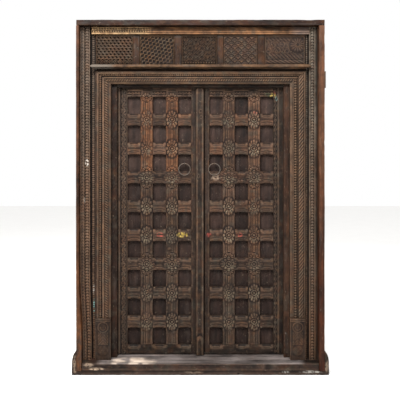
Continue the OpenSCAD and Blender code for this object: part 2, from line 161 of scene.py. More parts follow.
def hashed(ix, iy, iz, seed):
    """A repeatable number from 0 to 1 for each whole-number place."""
    n = ix.astype(np.uint32) * np.uint32(374761393) + iy.astype(np.uint32) * np.uint32(668265263)
    n = n + iz.astype(np.uint32) * np.uint32(2246822519) + np.uint32((seed * 974634777) % 2**32)
    n = (n ^ (n >> np.uint32(13))) * np.uint32(1274126177)
    n = (n ^ (n >> np.uint32(16))) * np.uint32(2654435761)
    return ((n >> np.uint32(8)) & np.uint32(0xFFFF)) / 65535.0


def noise(x, y, z, size, seed=0):
    """Smooth noise from -1 to 1 whose lumps are about size apart."""
    place = [np.asarray(v, float) / size + 1000.5 for v in np.broadcast_arrays(x, y, z)]
    whole = [np.floor(v).astype(np.int64) for v in place]
    part = [smooth(v - w) for v, w in zip(place, whole)]
    total = 0
    for corner in range(8):
        steps = [corner & 1, corner >> 1 & 1, corner >> 2 & 1]
        weight = 1
        for share, step in zip(part, steps):
            weight = weight * (share if step else 1 - share)
        total = total + weight * hashed(*[w + s for w, s in zip(whole, steps)], seed)
    return total * 2 - 1


def flat_noise(a, b, size, seed=0):
    return noise(a, b, 0.0, size, seed)


def softened(height, reach):
    """The height field averaged over a square of 2 * reach + 1 points."""
    for axis in (0, 1):
        pad = [(reach + 1, reach) if i == axis else (0, 0) for i in (0, 1)]
        total = np.cumsum(np.pad(height, pad, mode="edge"), axis=axis)
        count = height.shape[axis]
        upper = np.take(total, np.arange(2 * reach + 1, 2 * reach + 1 + count), axis=axis)
        lower = np.take(total, np.arange(count), axis=axis)
        height = (upper - lower) / (2 * reach + 1)
    return height


def extreme(height, reach, pick):
    """The greatest or least height within reach points of each point."""
    for axis in (0, 1):
        pad = [(reach, reach) if i == axis else (0, 0) for i in (0, 1)]
        padded = np.pad(height, pad, mode="edge")
        count = height.shape[axis]
        shifted = [np.take(padded, np.arange(k, k + count), axis=axis) for k in range(2 * reach + 1)]
        height = pick(np.stack(shifted), axis=0)
    return height


def relief_shading(height):
    """How deep in a cut each point lies, and how far it stands out, both 0 to 1: the first darkens cuts with
    dirt and painted shade, the second lightens proud parts with wear and a painted highlight.
    """
    close, wide = softened(height, 1), softened(height, 3)
    low, high = extreme(height, 3, np.min), extreme(height, 3, np.max)
    relief = high - low
    level = (height - low) / np.maximum(relief, 0.8)
    strong = np.clip(relief / 3.5, 0, 1)
    cavity = np.clip((close - height) / 1.6 + (wide - height) / 3.2, 0, 1)
    # Painted shade: the low part of each small stretch of relief is darkened by its level alone, beyond what
    # the curvature gives.
    cavity = np.maximum(cavity, smooth((0.62 - level) * 2.1) * strong)
    wear_and_highlight = np.clip((height - close) / 1.4 + (height - wide) / 3.5, 0, 1)
    # Painted highlight: the top of each small stretch of relief is lightened by its level alone.
    return cavity, np.maximum(wear_and_highlight, smooth((level - 0.72) * 3.6) * strong * 0.9)


def spaced(low, high, step, at=(), near=(1.2, 3, 6)):
    """Places from low to high about step apart, closer near both ends and at each side of at."""
    count = max(2, int(round((high - low) / step)) + 1)
    fixed = [low, high]
    for value in at:
        if low + 1 < value < high - 1:
            fixed += [value - 0.5, value + 0.5]
    ends = [low + d for d in near] + [high - d for d in near]
    places = sorted(set(fixed))
    for value in sorted(ends) + list(np.linspace(low, high, count)):
        if low < value < high and min(abs(value - p) for p in places) > 0.9:
            places.append(value)
    return np.array(sorted(places))


def srgb(red, green, blue):
    """Linear colour of an 8-bit screen colour."""
    c = np.array([red, green, blue]) / 255
    return np.where(c <= 0.04045, c / 12.92, ((c + 0.055) / 1.055) ** 2.4)


# ---- Colours ----

GREY_OAK = srgb(128, 110, 95)
UMBER = srgb(106, 82, 65)
DARK_UMBER = srgb(84, 62, 49)
OCHRE = srgb(140, 106, 72)
ORANGE_WOOD = srgb(178, 102, 58)
ORANGE_BOARD = srgb(138, 94, 62)
RED_BOARD = srgb(132, 92, 68)
BARE_WOOD = srgb(176, 152, 130)
DUSTY_PLANK = srgb(120, 101, 97)
DARK_PLANK = srgb(86, 68, 64)
JAMB_BROWN = srgb(82, 58, 44)
TOP_BROWN = srgb(76, 42, 19)
SILL_BROWN = srgb(101, 84, 77)
TREAD_GREY = srgb(134, 124, 120)
STOP_BROWN = srgb(58, 46, 38)
BEAM_OCHRE = srgb(158, 118, 83)
BEAM_PALE = srgb(212, 184, 142)
BLOCK_BROWN = srgb(116, 78, 48)
LEDGE_BROWN = srgb(136, 106, 78)
HEADER_BROWN = srgb(124, 100, 78)
LIME_WHITE = srgb(196, 190, 180)
SOOT = srgb(50, 39, 33)
TURQUOISE = srgb(92, 132, 128)
RED_PAINT = srgb(142, 62, 52)
YELLOW_PAINT = srgb(158, 134, 62)
GREEN_PAINT = srgb(72, 86, 62)

# Share of the light of the colours above that the dark old wood gives back, and its tone
AGED = 0.13
WARMTH = (1.05, 0.91, 0.79)
PAINT_LIGHT = 0.75

# Traces of old paint, soot and bare wood on the front: x, z, half width, half height, colour, strength
TRACES = [
    (-778, 1430, 16, 34, LIME_WHITE, 0.55), (-790, 1180, 8, 30, LIME_WHITE, 0.35),
    (-732, 445, 8, 70, TURQUOISE, 0.6), (-735, 560, 6, 40, LIME_WHITE, 0.4),
    (505, 1900, 26, 22, YELLOW_PAINT, 0.6), (470, 1908, 30, 14, GREEN_PAINT, 0.55),
    (522, 1925, 18, 16, RED_PAINT, 0.5), (530, 1880, 12, 20, TURQUOISE, 0.35),
    (382, 1782, 18, 12, RED_PAINT, 0.35), (-282, 930, 28, 20, RED_PAINT, 0.8),
    (60, 930, 22, 18, RED_PAINT, 0.75), (272, 930, 26, 18, RED_PAINT, 0.8),
    (-125, 930, 46, 22, YELLOW_PAINT, 0.8), (110, 1330, 42, 24, BARE_WOOD, 0.3),
    (-700, 42, 60, 12, BARE_WOOD, 0.9), (-760, 66, 46, 16, BARE_WOOD, 0.55),
    (-852, 96, 16, 60, BARE_WOOD, 0.45), (-850, 30, 18, 20, BARE_WOOD, 0.4),
    (852, 60, 16, 50, BARE_WOOD, 0.3), (-812, 110, 36, 230, SOOT, 0.75),
    (575, 22, 26, 9, LIME_WHITE, 0.8), (740, 22, 86, 9, LIME_WHITE, 0.75),
    (-60, 20, 90, 7, BARE_WOOD, 0.35),
]

# Stains that mottle every old surface: colour, size of the spots, strength
STAINS = [
    (ORANGE_WOOD, 47, 0.1), (OCHRE, 21, 0.3),
    (srgb(100, 98, 90), 29, 0.55), (srgb(70, 44, 38), 17, 0.4),
]


def blended(a, b, share):
    share = np.clip(share, 0, 1)[:, None]
    return a * (1 - share) + b * share


def with_traces(p, colour):
    """Adds what is left of old paint to the colours of points p."""
    x, y, z = p.T
    broken = smooth(0.6 + 1.6 * noise(x, y, z, 9, 71))
    on_front = y < leaf_front + 12
    for trace_x, trace_z, half_w, half_h, paint, strength in TRACES:
        near = 1 - ((x - trace_x) / half_w) ** 2 - ((z - trace_z) / half_h) ** 2
        share = smooth(1.4 * near) * broken * strength * on_front
        if share.any():
            colour = blended(colour, paint * PAINT_LIGHT, share)
    return colour


def shade(colour, factor):
    """A colour with its linear light multiplied, by one factor or by one for each channel."""
    return colour * np.array(factor)


def patina(high, low, seed, drift=0.16, z_low=250, z_high=1900, stained=1.0):
    """Colour of old wood: one colour high on the door, another low, drifting from place to place."""
    lightness = 1 + 0.1 * float(hashed(*[np.array([v]) for v in (seed, 3, 7)], 5)[0] - 0.5)

    def tint(p):
        x, y, z = p.T
        share = (z - z_low) / (z_high - z_low) + 0.3 * noise(x, y, z, 330, seed)
        colour = blended(low, high, share) * lightness
        drifted = 1 + drift * noise(x, y, z, 120, seed + 1) + drift * 0.9 * noise(x, y, z, 38, seed + 2)
        drifted = drifted + drift * 0.9 * noise(x, y, z, 13, seed + 3)
        for stain, size, amount in STAINS:
            spot = smooth(2.2 * noise(x, y, z, size, seed + size) - 0.25) * amount * stained
            colour = blended(colour, stain * lightness, spot)
        return with_traces(p, colour * drifted[:, None] * AGED * np.array(WARMTH))

    return tint


def even(tone, seed, drift=0.16):
    """Patina with the same colour from head to foot."""
    return patina(tone, tone, seed, drift)


# ---- Building closed timber meshes ----

class Piece:
    """Closed solids that share one mesh, with the attributes that the materials read."""

    def __init__(self):
        self.parts = []
        self.loops = []
        self.sizes = []
        self.count = 0

    def add(self, points, quads, polygons, grain, tint, cavity, wear_and_highlight):
        self.parts.append((points, grain, tint, cavity, wear_and_highlight))
        self.loops.append((quads + self.count).ravel())
        self.sizes.append(np.full(len(quads), 4))
        for polygon in polygons:
            self.loops.append(np.asarray(polygon) + self.count)
            self.sizes.append(np.array([len(polygon)]))
        self.count += len(points)

    def finish(self, node, state, body, material):
        """Makes the mesh, and has it ride on a body and stand for a CAD node."""
        name = f"{node}_{state}"
        points, grain, tint, cavity, wear_and_highlight = [np.concatenate(v) for v in zip(*self.parts)]
        loops = np.concatenate(self.loops).astype(np.int32)
        sizes = np.concatenate(self.sizes).astype(np.int32)
        mesh = bpy.data.meshes.new(name)
        mesh.vertices.add(len(points))
        mesh.vertices.foreach_set("co", (points * MM).astype(np.float32).ravel())
        mesh.loops.add(len(loops))
        mesh.loops.foreach_set("vertex_index", loops)
        mesh.polygons.add(len(sizes))
        starts = np.concatenate([[0], np.cumsum(sizes)[:-1]]).astype(np.int32)
        mesh.polygons.foreach_set("loop_start", starts)
        mesh.update(calc_edges=True)
        store(mesh, "grain", "FLOAT_VECTOR", "vector", grain)
        rgba = np.concatenate([np.clip(tint, 0, 1), np.ones((len(tint), 1))], axis=1)
        store(mesh, "tint", "FLOAT_COLOR", "color", rgba)
        # cavity carries dirt and painted shade in the cuts; wear carries wear and a painted highlight on
        # proud parts and edges.
        store(mesh, "cavity", "FLOAT", "value", cavity)
        store(mesh, "wear_and_highlight", "FLOAT", "value", wear_and_highlight)
        mesh.polygons.foreach_set("use_smooth", np.ones(len(sizes), bool))
        mesh.set_sharp_from_angle(angle=math.radians(52))
        mesh.materials.append(material)
        piece = bpy.data.objects.new(name, mesh)
        bpy.context.scene.collection.objects.link(piece)
        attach(piece, body)
        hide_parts(node)


def store(mesh, name, kind, field, values):
    attribute = mesh.attributes.new(name, kind, "POINT")
    attribute.data.foreach_set(field, np.asarray(values, np.float32).ravel())


def timber(piece, x, y, z, tint, along="z", step=(4.0, 4.0), side_step=36.0, back_step=70.0,
           carve=None, edge=2.0, rough=0.8, chips=1.0, seed=0, at=(), at_along=(), back_at=(),
           warp=None, bend=None):
    """Adds one squared timber with worn edges to piece, its front towards -Y.

    carve(across, along) is the height of the front over its plane, 0 or less.
    warp(across, y, along) moves points along the timber, for mitres and sloping feet.
    bend(points) changes the finished points. edge is a radius, or a function of (across, y).
    """
    (a0, a1), (l0, l1) = (x, z) if along == "z" else (z, x)
    y0, y1 = y
    columns = spaced(a0, a1, step[0], at)
    sides = spaced(y0, y1, side_step, near=(2.5,))[1:-1]
    rear = spaced(a0, a1, back_step, back_at, (2.5,))[::-1]
    ring_a = np.concatenate([columns, np.full(len(sides), a1), rear, np.full(len(sides), a0)])
    ring_y = np.concatenate([np.full(len(columns), y0), sides, np.full(len(rear), y1), sides[::-1]])
    stations = np.concatenate([[l0], spaced(l0, l1, step[1], at_along), [l1]])
    across = np.tile(ring_a, (len(stations), 1))
    depth = np.tile(ring_y, (len(stations), 1))
    length = np.tile(stations[:, None], (1, len(ring_a)))
    for cap in (0, -1):
        across[cap] = (a0 + a1) / 2 + (ring_a - (a0 + a1) / 2) * 0.8
        depth[cap] = (y0 + y1) / 2 + (ring_y - (y0 + y1) / 2) * 0.8

    # Edges are rounded by an uneven radius, with chips here and there
    radius = edge(across, depth) if callable(edge) else np.full(across.shape, float(edge))
    chip = smooth((noise(across, depth, length, 42, seed + 11) - 0.45) * 3) * 5 * chips
    worn = 0.75 + 0.5 * noise(across, depth, length, 75, seed + 12)
    least = min(a1 - a0, y1 - y0)
    radius = np.clip(radius * worn + np.where(radius < 8, chip, 0), 0.4, least * 0.4)
    if callable(edge):
        radius = np.minimum(np.maximum(radius, edge(across, depth)), least / 2)
    end_radius = np.clip(radius, 0.4, 6)
    point = np.stack([across, depth, length], -1)
    reach = np.stack([radius, radius, end_radius], -1)
    core = np.clip(point, np.array([a0, y0, l0]) + reach, np.array([a1, y1, l1]) - reach)
    normal = (point - core) / reach
    normal /= np.linalg.norm(normal, axis=-1, keepdims=True)
    dents = 0.5 + 0.5 * noise(across, depth, length, 85, seed + 13)
    tool = np.abs(noise(across * 2.2, depth * 2.2, length, 26, seed + 14))
    shaped = core + normal * reach - normal * (rough * (dents + 0.5 * tool))[..., None]
    across, depth, length = [shaped[..., i].copy() for i in range(3)]
    if warp:
        length = warp(across, depth, length)

    cavity = np.zeros(across.shape)
    wear_and_highlight = np.clip((1 - np.abs(normal).max(-1)) * 3, 0, 1)
    if carve:
        count = len(columns)
        height = carve(np.tile(columns, (len(stations), 1)), length[:, :count])
        deep, proud = relief_shading(height)
        # Cuts get dirt and painted shade, proud parts get wear and a painted highlight.
        cavity[:, :count] = deep
        wear_and_highlight[:, :count] += proud
        depth[:, :count] -= height
        share = (y1 - sides) / (y1 - y0)
        n = len(sides)
        depth[:, count:count + n] -= height[:, -1:] * share
        depth[:, -n:] -= height[:, :1] * share[::-1]

    grain = np.stack([across, depth, length], -1).reshape(-1, 3) * MM + grain_offset(seed)
    order = (across, depth, length) if along == "z" else (length, depth, across)
    points = np.stack(order, -1).reshape(-1, 3)
    if bend:
        points = bend(points)
    rings, around = across.shape
    index = np.arange(rings * around).reshape(rings, around)
    right = np.roll(index, -1, axis=1)
    quads = np.stack([index[:-1], right[:-1], right[1:], index[1:]], -1).reshape(-1, 4)
    caps = [index[0][::-1], index[-1]]
    if along == "x":
        quads = quads[:, ::-1]
        caps = [cap[::-1] for cap in caps]
    piece.add(points, quads, caps, grain, tint(points), cavity.ravel(), np.clip(wear_and_highlight, 0, 1).ravel())


def grain_offset(seed):
    """Moves each timber to its own place in the wood, so that no two look alike."""
    return np.array([math.sin(seed * 12.9 + k) * 7 for k in range(3)])


# ---- Materials ----

class Graph:
    """A material's nodes, with short names for what the woods and the iron use."""

    def __init__(self, name):
        self.material = bpy.data.materials.new(name)
        self.material.use_nodes = True
        self.tree = self.material.node_tree
        self.shader = self.tree.nodes["Principled BSDF"]

    def feed(self, socket, value):
        if isinstance(value, bpy.types.NodeSocket):
            self.tree.links.new(value, socket)
        else:
            socket.default_value = value

    def attribute(self, name, output):
        node = self.tree.nodes.new("ShaderNodeAttribute")
        node.attribute_name = name
        return node.outputs[output]

    def place(self):
        return self.tree.nodes.new("ShaderNodeTexCoord").outputs["Object"]

    def math(self, operation, first, second=0.0):
        node = self.tree.nodes.new("ShaderNodeMath")
        node.operation = operation
        self.feed(node.inputs[0], first)
        self.feed(node.inputs[1], second)
        return node.outputs[0]

    def plus(self, first, second):
        return self.math("ADD", first, second)

    def minus(self, first, second):
        return self.math("SUBTRACT", first, second)

    def times(self, first, second):
        return self.math("MULTIPLY", first, second)

    def stretched(self, vector, factors):
        node = self.tree.nodes.new("ShaderNodeVectorMath")
        node.operation = "MULTIPLY"
        self.feed(node.inputs[0], vector)
        node.inputs[1].default_value = factors
        return node.outputs[0]

    def noise(self, vector, factors, detail=3.0, roughness=0.55, distortion=0.0):
        node = self.tree.nodes.new("ShaderNodeTexNoise")
        node.inputs["Scale"].default_value = 1.0
        node.inputs["Detail"].default_value = detail
        node.inputs["Roughness"].default_value = roughness
        node.inputs["Distortion"].default_value = distortion
        self.feed(node.inputs["Vector"], self.stretched(vector, factors))
        return node.outputs["Fac"]

    def ranged(self, value, low, high, out_low=0.0, out_high=1.0):
        node = self.tree.nodes.new("ShaderNodeMapRange")
        node.interpolation_type = "SMOOTHSTEP"
        self.feed(node.inputs["Value"], value)
        ends = {"From Min": low, "From Max": high, "To Min": out_low, "To Max": out_high}
        for name, number in ends.items():
            node.inputs[name].default_value = number
        return node.outputs["Result"]

    def scaled(self, colour, factor):
        node = self.tree.nodes.new("ShaderNodeVectorMath")
        node.operation = "SCALE"
        self.feed(node.inputs[0], colour)
        self.feed(node.inputs["Scale"], factor)
        return node.outputs[0]

    def mixed(self, share, first, second):
        node = self.tree.nodes.new("ShaderNodeMix")
        node.data_type = "RGBA"
        self.feed(node.inputs[0], share)
        self.feed(node.inputs[6], first)
        self.feed(node.inputs[7], second)
        return node.outputs[2]

    def bump(self, height, strength, distance):
        node = self.tree.nodes.new("ShaderNodeBump")
        node.inputs["Strength"].default_value = strength
        node.inputs["Distance"].default_value = distance
        self.feed(node.inputs["Height"], height)
        self.feed(self.shader.inputs["Normal"], node.outputs["Normal"])


def rgba(colour):
    """A colour as a material socket takes it."""
    return (*[float(c) for c in colour], 1.0)


def wood(name, figure=0.5, fibre=0.35, cracks=0.6, shade_and_dirt_strength=0.85, highlight_and_wear_strength=0.6, gloss=(0.5, 0.82)):
    """Old wood: grain that follows the timber, pores, cracks, dirt and painted shade in the cuts, rubbed
    edges with a painted highlight.
    """
    g = Graph(name)
    grain = g.attribute("grain", "Vector")
    tint = g.attribute("tint", "Color")
    cavity = g.attribute("cavity", "Fac")
    wear_and_highlight = g.attribute("wear_and_highlight", "Fac")
    broad = g.noise(grain, (24, 24, 1.5), 3.0, 0.55, 0.6)
    fine = g.noise(grain, (230, 230, 8), 4.0, 0.6)
    blotch = g.noise(grain, (11, 11, 6), 4.0, 0.62)
    speck = g.noise(grain, (520, 520, 150), 2.0, 0.5)
    pores = g.ranged(g.noise(grain, (1300, 1300, 46), 2.0), 0.6, 0.7)
    split = g.math("ABSOLUTE", g.minus(g.noise(grain, (46, 46, 1.1), 2.0, 0.5, 0.4), 0.5))
    crack = g.times(g.ranged(split, 0.012, 0.0), g.ranged(blotch, 0.46, 0.6))
    crack = g.times(crack, cracks)

    light = g.plus(g.times(g.minus(broad, 0.5), 4.8 * figure), 1.0)
    light = g.plus(light, g.times(g.minus(fine, 0.5), 3.0 * fibre))
    light = g.plus(light, g.times(g.minus(blotch, 0.5), 2.6))
    light = g.minus(light, g.times(pores, 0.3))
    light = g.math("MAXIMUM", light, 0.2)
    colour = g.scaled(tint, light)
    grey = g.ranged(g.noise(grain, (30, 30, 5), 3.0, 0.6), 0.52, 0.72, 0.0, 0.3)
    colour = g.mixed(grey, colour, rgba(srgb(60, 50, 45)))
    # Dirt and painted shade: the cuts are darkened nearly to black.
    dirt_and_shade = g.times(cavity, g.ranged(speck, 0.2, 0.6, shade_and_dirt_strength * 0.75, shade_and_dirt_strength))
    colour = g.mixed(dirt_and_shade, colour, rgba(srgb(14, 9, 7)))
    colour = g.mixed(crack, colour, rgba(srgb(14, 10, 8)))
    # Wear and painted highlight: proud parts and edges are lightened towards a pale colour.
    highlight_and_wear_share = g.times(wear_and_highlight, g.ranged(fine, 0.35, 0.65, highlight_and_wear_strength * 0.4, highlight_and_wear_strength))
    pale = g.mixed(0.25, g.scaled(tint, 3.7), rgba(srgb(118, 96, 76)))
    colour = g.mixed(highlight_and_wear_share, colour, pale)
    chips = g.ranged(g.noise(grain, (110, 110, 70), 3.0, 0.6), 0.64, 0.71, 0.0, 0.35)
    colour = g.mixed(g.times(chips, g.ranged(cavity, 0.5, 0.1)), colour, rgba(srgb(122, 106, 88)))
    g.feed(g.shader.inputs["Base Color"], colour)

    rough = g.ranged(fine, 0.3, 0.7, *gloss)
    g.feed(g.shader.inputs["Roughness"], g.plus(rough, g.times(cavity, 0.12)))
    g.shader.inputs["Specular IOR Level"].default_value = 0.12
    height = g.plus(g.times(fine, 0.5), g.times(broad, 0.5))
    height = g.minus(height, g.times(crack, 1.4))
    height = g.minus(height, g.times(pores, 0.25))
    g.bump(g.plus(height, g.times(speck, 0.18)), 0.55, 0.0016)
    return g.material


def forged_iron():
    """Old forged iron: dark scale, a little brown rust, rubbed brighter in places."""
    g = Graph("forged_iron")
    place = g.place()
    blotch = g.noise(place, (60, 60, 60), 4.0, 0.65)
    speck = g.noise(place, (420, 420, 420), 3.0, 0.6)
    colour = g.mixed(g.ranged(blotch, 0.42, 0.66), rgba(srgb(66, 60, 55)), rgba(srgb(82, 64, 50)))
    colour = g.mixed(g.ranged(speck, 0.5, 0.7, 0.0, 0.5), colour, rgba(srgb(118, 108, 98)))
    g.feed(g.shader.inputs["Base Color"], colour)
    g.feed(g.shader.inputs["Roughness"], g.ranged(speck, 0.3, 0.7, 0.42, 0.72))
    g.shader.inputs["Metallic"].default_value = 0.65
    g.bump(g.plus(blotch, g.times(speck, 0.4)), 0.5, 0.0012)
    return g.material


CARVED = wood("carved_wood", figure=0.35, fibre=0.3, shade_and_dirt_strength=1.0, highlight_and_wear_strength=0.78)
LATTICE = wood("lattice_wood", figure=0.45, fibre=0.4, shade_and_dirt_strength=1.0, highlight_and_wear_strength=0.75)
PLANKS = wood("plank_wood", figure=0.35, fibre=0.35, cracks=0.9, highlight_and_wear_strength=0.35, gloss=(0.6, 0.88))
BOARDS = wood("board_wood", figure=0.55, fibre=0.35, cracks=0.8, highlight_and_wear_strength=0.6, gloss=(0.42, 0.72))
BLOCKS = wood("block_wood", figure=0.45, fibre=0.45, cracks=0.5, highlight_and_wear_strength=0.5)
SILL = wood("threshold_wood", figure=0.5, fibre=0.4, cracks=1.0, highlight_and_wear_strength=0.7, gloss=(0.5, 0.8))
IRON = forged_iron()


# ---- Carved patterns: s runs from -1 to 1 across a strand, v along it in millimetres ----

def rope(s, v, pitch, lean=0.5):
    return dome(s) * (0.2 + 0.8 * lobe(v / pitch + lean * s))


def leaf_pairs(s, v, pitch):
    """Small leaves that leave a middle vein on both sides."""
    leaves = 0.15 + 0.85 * lobe(v / pitch + 0.8 * np.abs(s))
    return dome(s) * np.maximum(leaves * np.clip(np.abs(s) * 4, 0.3, 1), ridge(s, 0.12))


def bead_row(s, v, pitch, half, radius):
    return dome(np.hypot(s * half, centred(v / pitch) * pitch) / radius)


def ring_chain(s, v, pitch, half):
    """Rings that overlap along the strand, with a boss in each."""
    chain = 0
    for neighbour in (-1, 0, 1):
        away = np.hypot(s * half, (centred(v / pitch) + neighbour) * pitch)
        chain = np.maximum(chain, ridge(away - 0.78 * half, 0.2 * half))
    return np.maximum(chain, 0.85 * bead_row(s, v, pitch, half, 0.34 * half))


def chevrons(s, v, pitch):
    """Blunt chevrons with a bead at the point of each."""
    block = smooth(2.6 * lobe(v / pitch + 0.45 * np.abs(s)) - 1.1)
    return np.clip(1.3 - s * s, 0, 1) * np.maximum(block, ridge(s, 0.22) * lobe(v / pitch + 0.5))


def vine(s, v, pitch, half):
    """A winding stem with a curled leaf in each bay."""
    stem = ridge(s - 0.5 * np.sin(2 * np.pi * v / pitch), 0.15)
    total = stem
    for shift, sign in ((0.25, -1), (0.75, 1)):
        along = centred(v / pitch - shift) * pitch
        side = (s - 0.38 * sign) * half
        away = np.hypot(side, along)
        turn = np.arctan2(along, side * sign)
        curl = ridge(away - (0.24 + 0.05 * turn) * half, 0.11 * half)
        petals = ridge(away - 0.62 * half, 0.22 * half) * lobe(1.6 * turn)
        total = np.maximum(total, np.maximum(curl, 0.75 * petals))
    return total * np.clip(1.25 - s * s, 0, 1)


def rubbed_down(height, a, v, seed, amount=0.7, level=-2.5):
    """Wears the carving down in patches, as handling and weather do."""
    patch = smooth(1.6 * flat_noise(a, v, 150, seed) - 0.1) * amount
    patch = np.maximum(patch, smooth(3 * flat_noise(a, v, 34, seed + 1) - 1.7) * 0.85)
    return height + (np.maximum(height, level * 2) * 0.45 + level * 0.6 - height) * patch


def strand(height, w, centre, half, base, rise, pattern):
    """Lays a strand of carving into the height field, where it covers it."""
    s = (w - centre) / half
    return np.where(np.abs(s) < 1, base + rise * pattern(np.clip(s, -1, 1)), height)


def pits(height, w, v, centre, pitch, radius, depth):
    return height - depth * dome(np.hypot(w - centre, centred(v / pitch) * pitch) / radius)


# ---- Posts and head beam ----

def left_band(w, v):
    """Across the left post's band from its outer edge: leaves, dots and chevrons."""
    h = np.where(inside(w, 3, 51.5), -5.0, -0.6)
    h = strand(h, w, 13.5, 10.5, -7, 7, lambda s: leaf_pairs(s, v, 21))
    h = strand(h, w, 40.2, 11.3, -8, 8, lambda s: chevrons(s, v, 20))
    return pits(np.where(inside(w, 24.5, 28.5), -6.5, h), w, v, 26.5, 12, 3.4, 4)


def right_band(w, v):
    """Across the right post's band from its outer edge: a plain slope and chevrons."""
    h = np.where(w < 19, -4.5 + 3.2 * smooth(w / 19), -0.4)
    h = np.where(inside(w, 23.5, 49), -8.0, h)
    return strand(h, w, 36.2, 12.4, -8, 7.8, lambda s: chevrons(s, v, 20))


def recess_beads(w, v):
    """The column of small blocks down the sunk strip beside the casing."""
    sunk = band_front - recess_floor
    column = np.clip(1.4 - np.abs(w - 70) / 5, 0, 1)
    return sunk + 5 * smooth(column) * smooth(2.2 * lobe(v / 14) - 0.9) - 1


def post_carving(side):
    band = left_band if side == LEFT else right_band

    def carve(a, v):
        w = band_out - np.abs(a)
        carved = rubbed_down(band(w, v), a, v, 40 + side, 0.4)
        return np.where(np.abs(a) > band_in, carved, recess_beads(w, v))

    return carve


def on_sill(depth):
    """Height of the threshold's sloping top at a depth."""
    slope = (sill_back_z - sill_front_z) / (stop_back - sill_lo[1])
    return np.minimum(sill_back_z, sill_front_z + (depth - sill_lo[1]) * slope)


def foot_on_sill(low):
    """Warp that sets the foot of an upright timber down on the threshold's slope."""
    def warp(across, depth, length):
        return length + (on_sill(depth) - low) * np.clip(1 - (length - low) / 60, 0, 1)

    return warp


def span(side, low, high):
    """An X range on one side of the door, from its distances to the middle."""
    return (low, high) if side == RIGHT else (-high, -low)


POST_SPREAD = 19


def left_spread(p):
    """The left post has spread outwards over its foot, and its band covers part of the board."""
    away = -p[:, 0]
    spread = np.interp(away, (casing_out, band_in, band_out, board_hi[0]), (0, 0.6, 1, 0))
    p[:, 0] -= POST_SPREAD * spread * smooth((p[:, 2] - 180) / 520)
    return p


def make_posts():
    for side, word in SIDES.items():
        piece = Piece()
        gain = ((1.15, 1.35, 1.6), 1.75) if side == LEFT else ((1.25, 1.7, 2.1), 1.2)
        tint = patina(shade(GREY_OAK, gain[0]), shade(srgb(102, 78, 62), gain[1]), 20 + side)
        timber(piece, span(side, casing_out, band_out), (band_front, back), (sill_back_z, post_hi[2]),
               tint, step=(3.1, 3.9), side_step=80, carve=post_carving(side),
               edge=1.5, chips=0.7, seed=21 + side, at=(side * band_in,),
               warp=foot_on_sill(sill_back_z), bend=left_spread if side == LEFT else None)
        piece.finish(f"{word}_post", "carved", "frame", CARVED)


def beam_carving(a, v):
    """The left third keeps two rows of carving, and the rest has been planed by wear."""
    w = a - beam_lo[2]
    h = np.where(inside(w, 9, 12), -3.5, -0.8)
    carved = np.where(inside(w, 12, 46), -4.5, -0.5)
    carved = strand(carved, w, 35, 10, -8, 8, lambda s: leaf_pairs(s, v, 19))
    carved = strand(carved, w, 19, 7, -8, 7.5, lambda s: bead_row(s, v, 17, 7, 6.6))
    kept = smooth((-330 - v + 90 * flat_noise(a * 2, v, 60, 5)) / 60)
    return h * (1 - kept) + rubbed_down(carved, a, v, 47, 0.5) * kept


def make_head_beam():
    def tint(p):
        base = even(BEAM_OCHRE, 31, 0.35)(p)
        left = smooth((-300 - p[:, 0]) / 90)
        right = smooth((p[:, 0] - 600) / 60)
        base = blended(base, patina(BEAM_PALE, UMBER, 32)(p), left * 0.9)
        # Painted light: the front is lightened 1.8 times to make up for the shadow that the top board casts
        # on it.
        front = 1.8 * blended(base, srgb(136, 124, 120) * AGED, right * 0.6)
        return blended(even(UMBER, 34)(p), front, smooth((recess_floor + 2 - p[:, 1]) / 4))

    piece = Piece()
    timber(piece, (-band_in, band_in), (band_front, recess_floor), (beam_lo[2], beam_hi[2]), tint,
           along="x", step=(3.2, 4.0), carve=beam_carving, edge=2.5, seed=33)
    timber(piece, (-casing_out, casing_out), (recess_floor, back), (beam_lo[2], beam_hi[2]), tint,
           along="x", step=(14, 30), edge=3, seed=34)
    piece.finish("head_beam", "carved", "frame", CARVED)


# ---- Plain boards round the outside ----

TOE_DEPTH = 40


def make_boards():
    for side, word in SIDES.items():
        toe_z, toe_y = 155.0, board_lo[1] + TOE_DEPTH
        shrink = (toe_y - board_lo[1]) / (board_hi[1] - board_lo[1])

        def bend(p, toe_z=toe_z, shrink=shrink, side=side):
            toe = p[:, 2] < toe_z
            p[toe, 1] = board_lo[1] + (p[toe, 1] - board_lo[1]) * shrink
            return left_spread(p) if side == LEFT else p

        high = shade(RED_BOARD, 1.1) if side == LEFT else shade(RED_BOARD, 1.9)
        low = shade(ORANGE_BOARD, 1.6) if side == LEFT else srgb(116, 57, 26)
        piece = Piece()
        timber(piece, span(side, band_out, board_hi[0] - 0.6), (board_lo[1], board_hi[1]),
               (board_lo[2], board_hi[2]), patina(high, low, 50 + side, 0.35, stained=0.4), step=(5, 10),
               side_step=18, back_step=20, edge=3.2, rough=1.6, seed=52 + side, at_along=(toe_z,),
               bend=bend)
        piece.finish(f"{word}_surround_board", "worn", "frame", BOARDS)
    lo, hi = corners("top_surround_board")
    piece = Piece()
    tint = patina(TOP_BROWN, shade(TOP_BROWN, 0.9), 55, 0.3)
    timber(piece, *zip(lo, hi), tint, along="x", step=(6, 10), side_step=18, back_step=20,
           edge=4.5, rough=2.0, seed=56)
    piece.finish("top_surround_board", "worn", "frame", BOARDS)


# ---- Frieze: p and q run from a panel's lower left inner corner ----

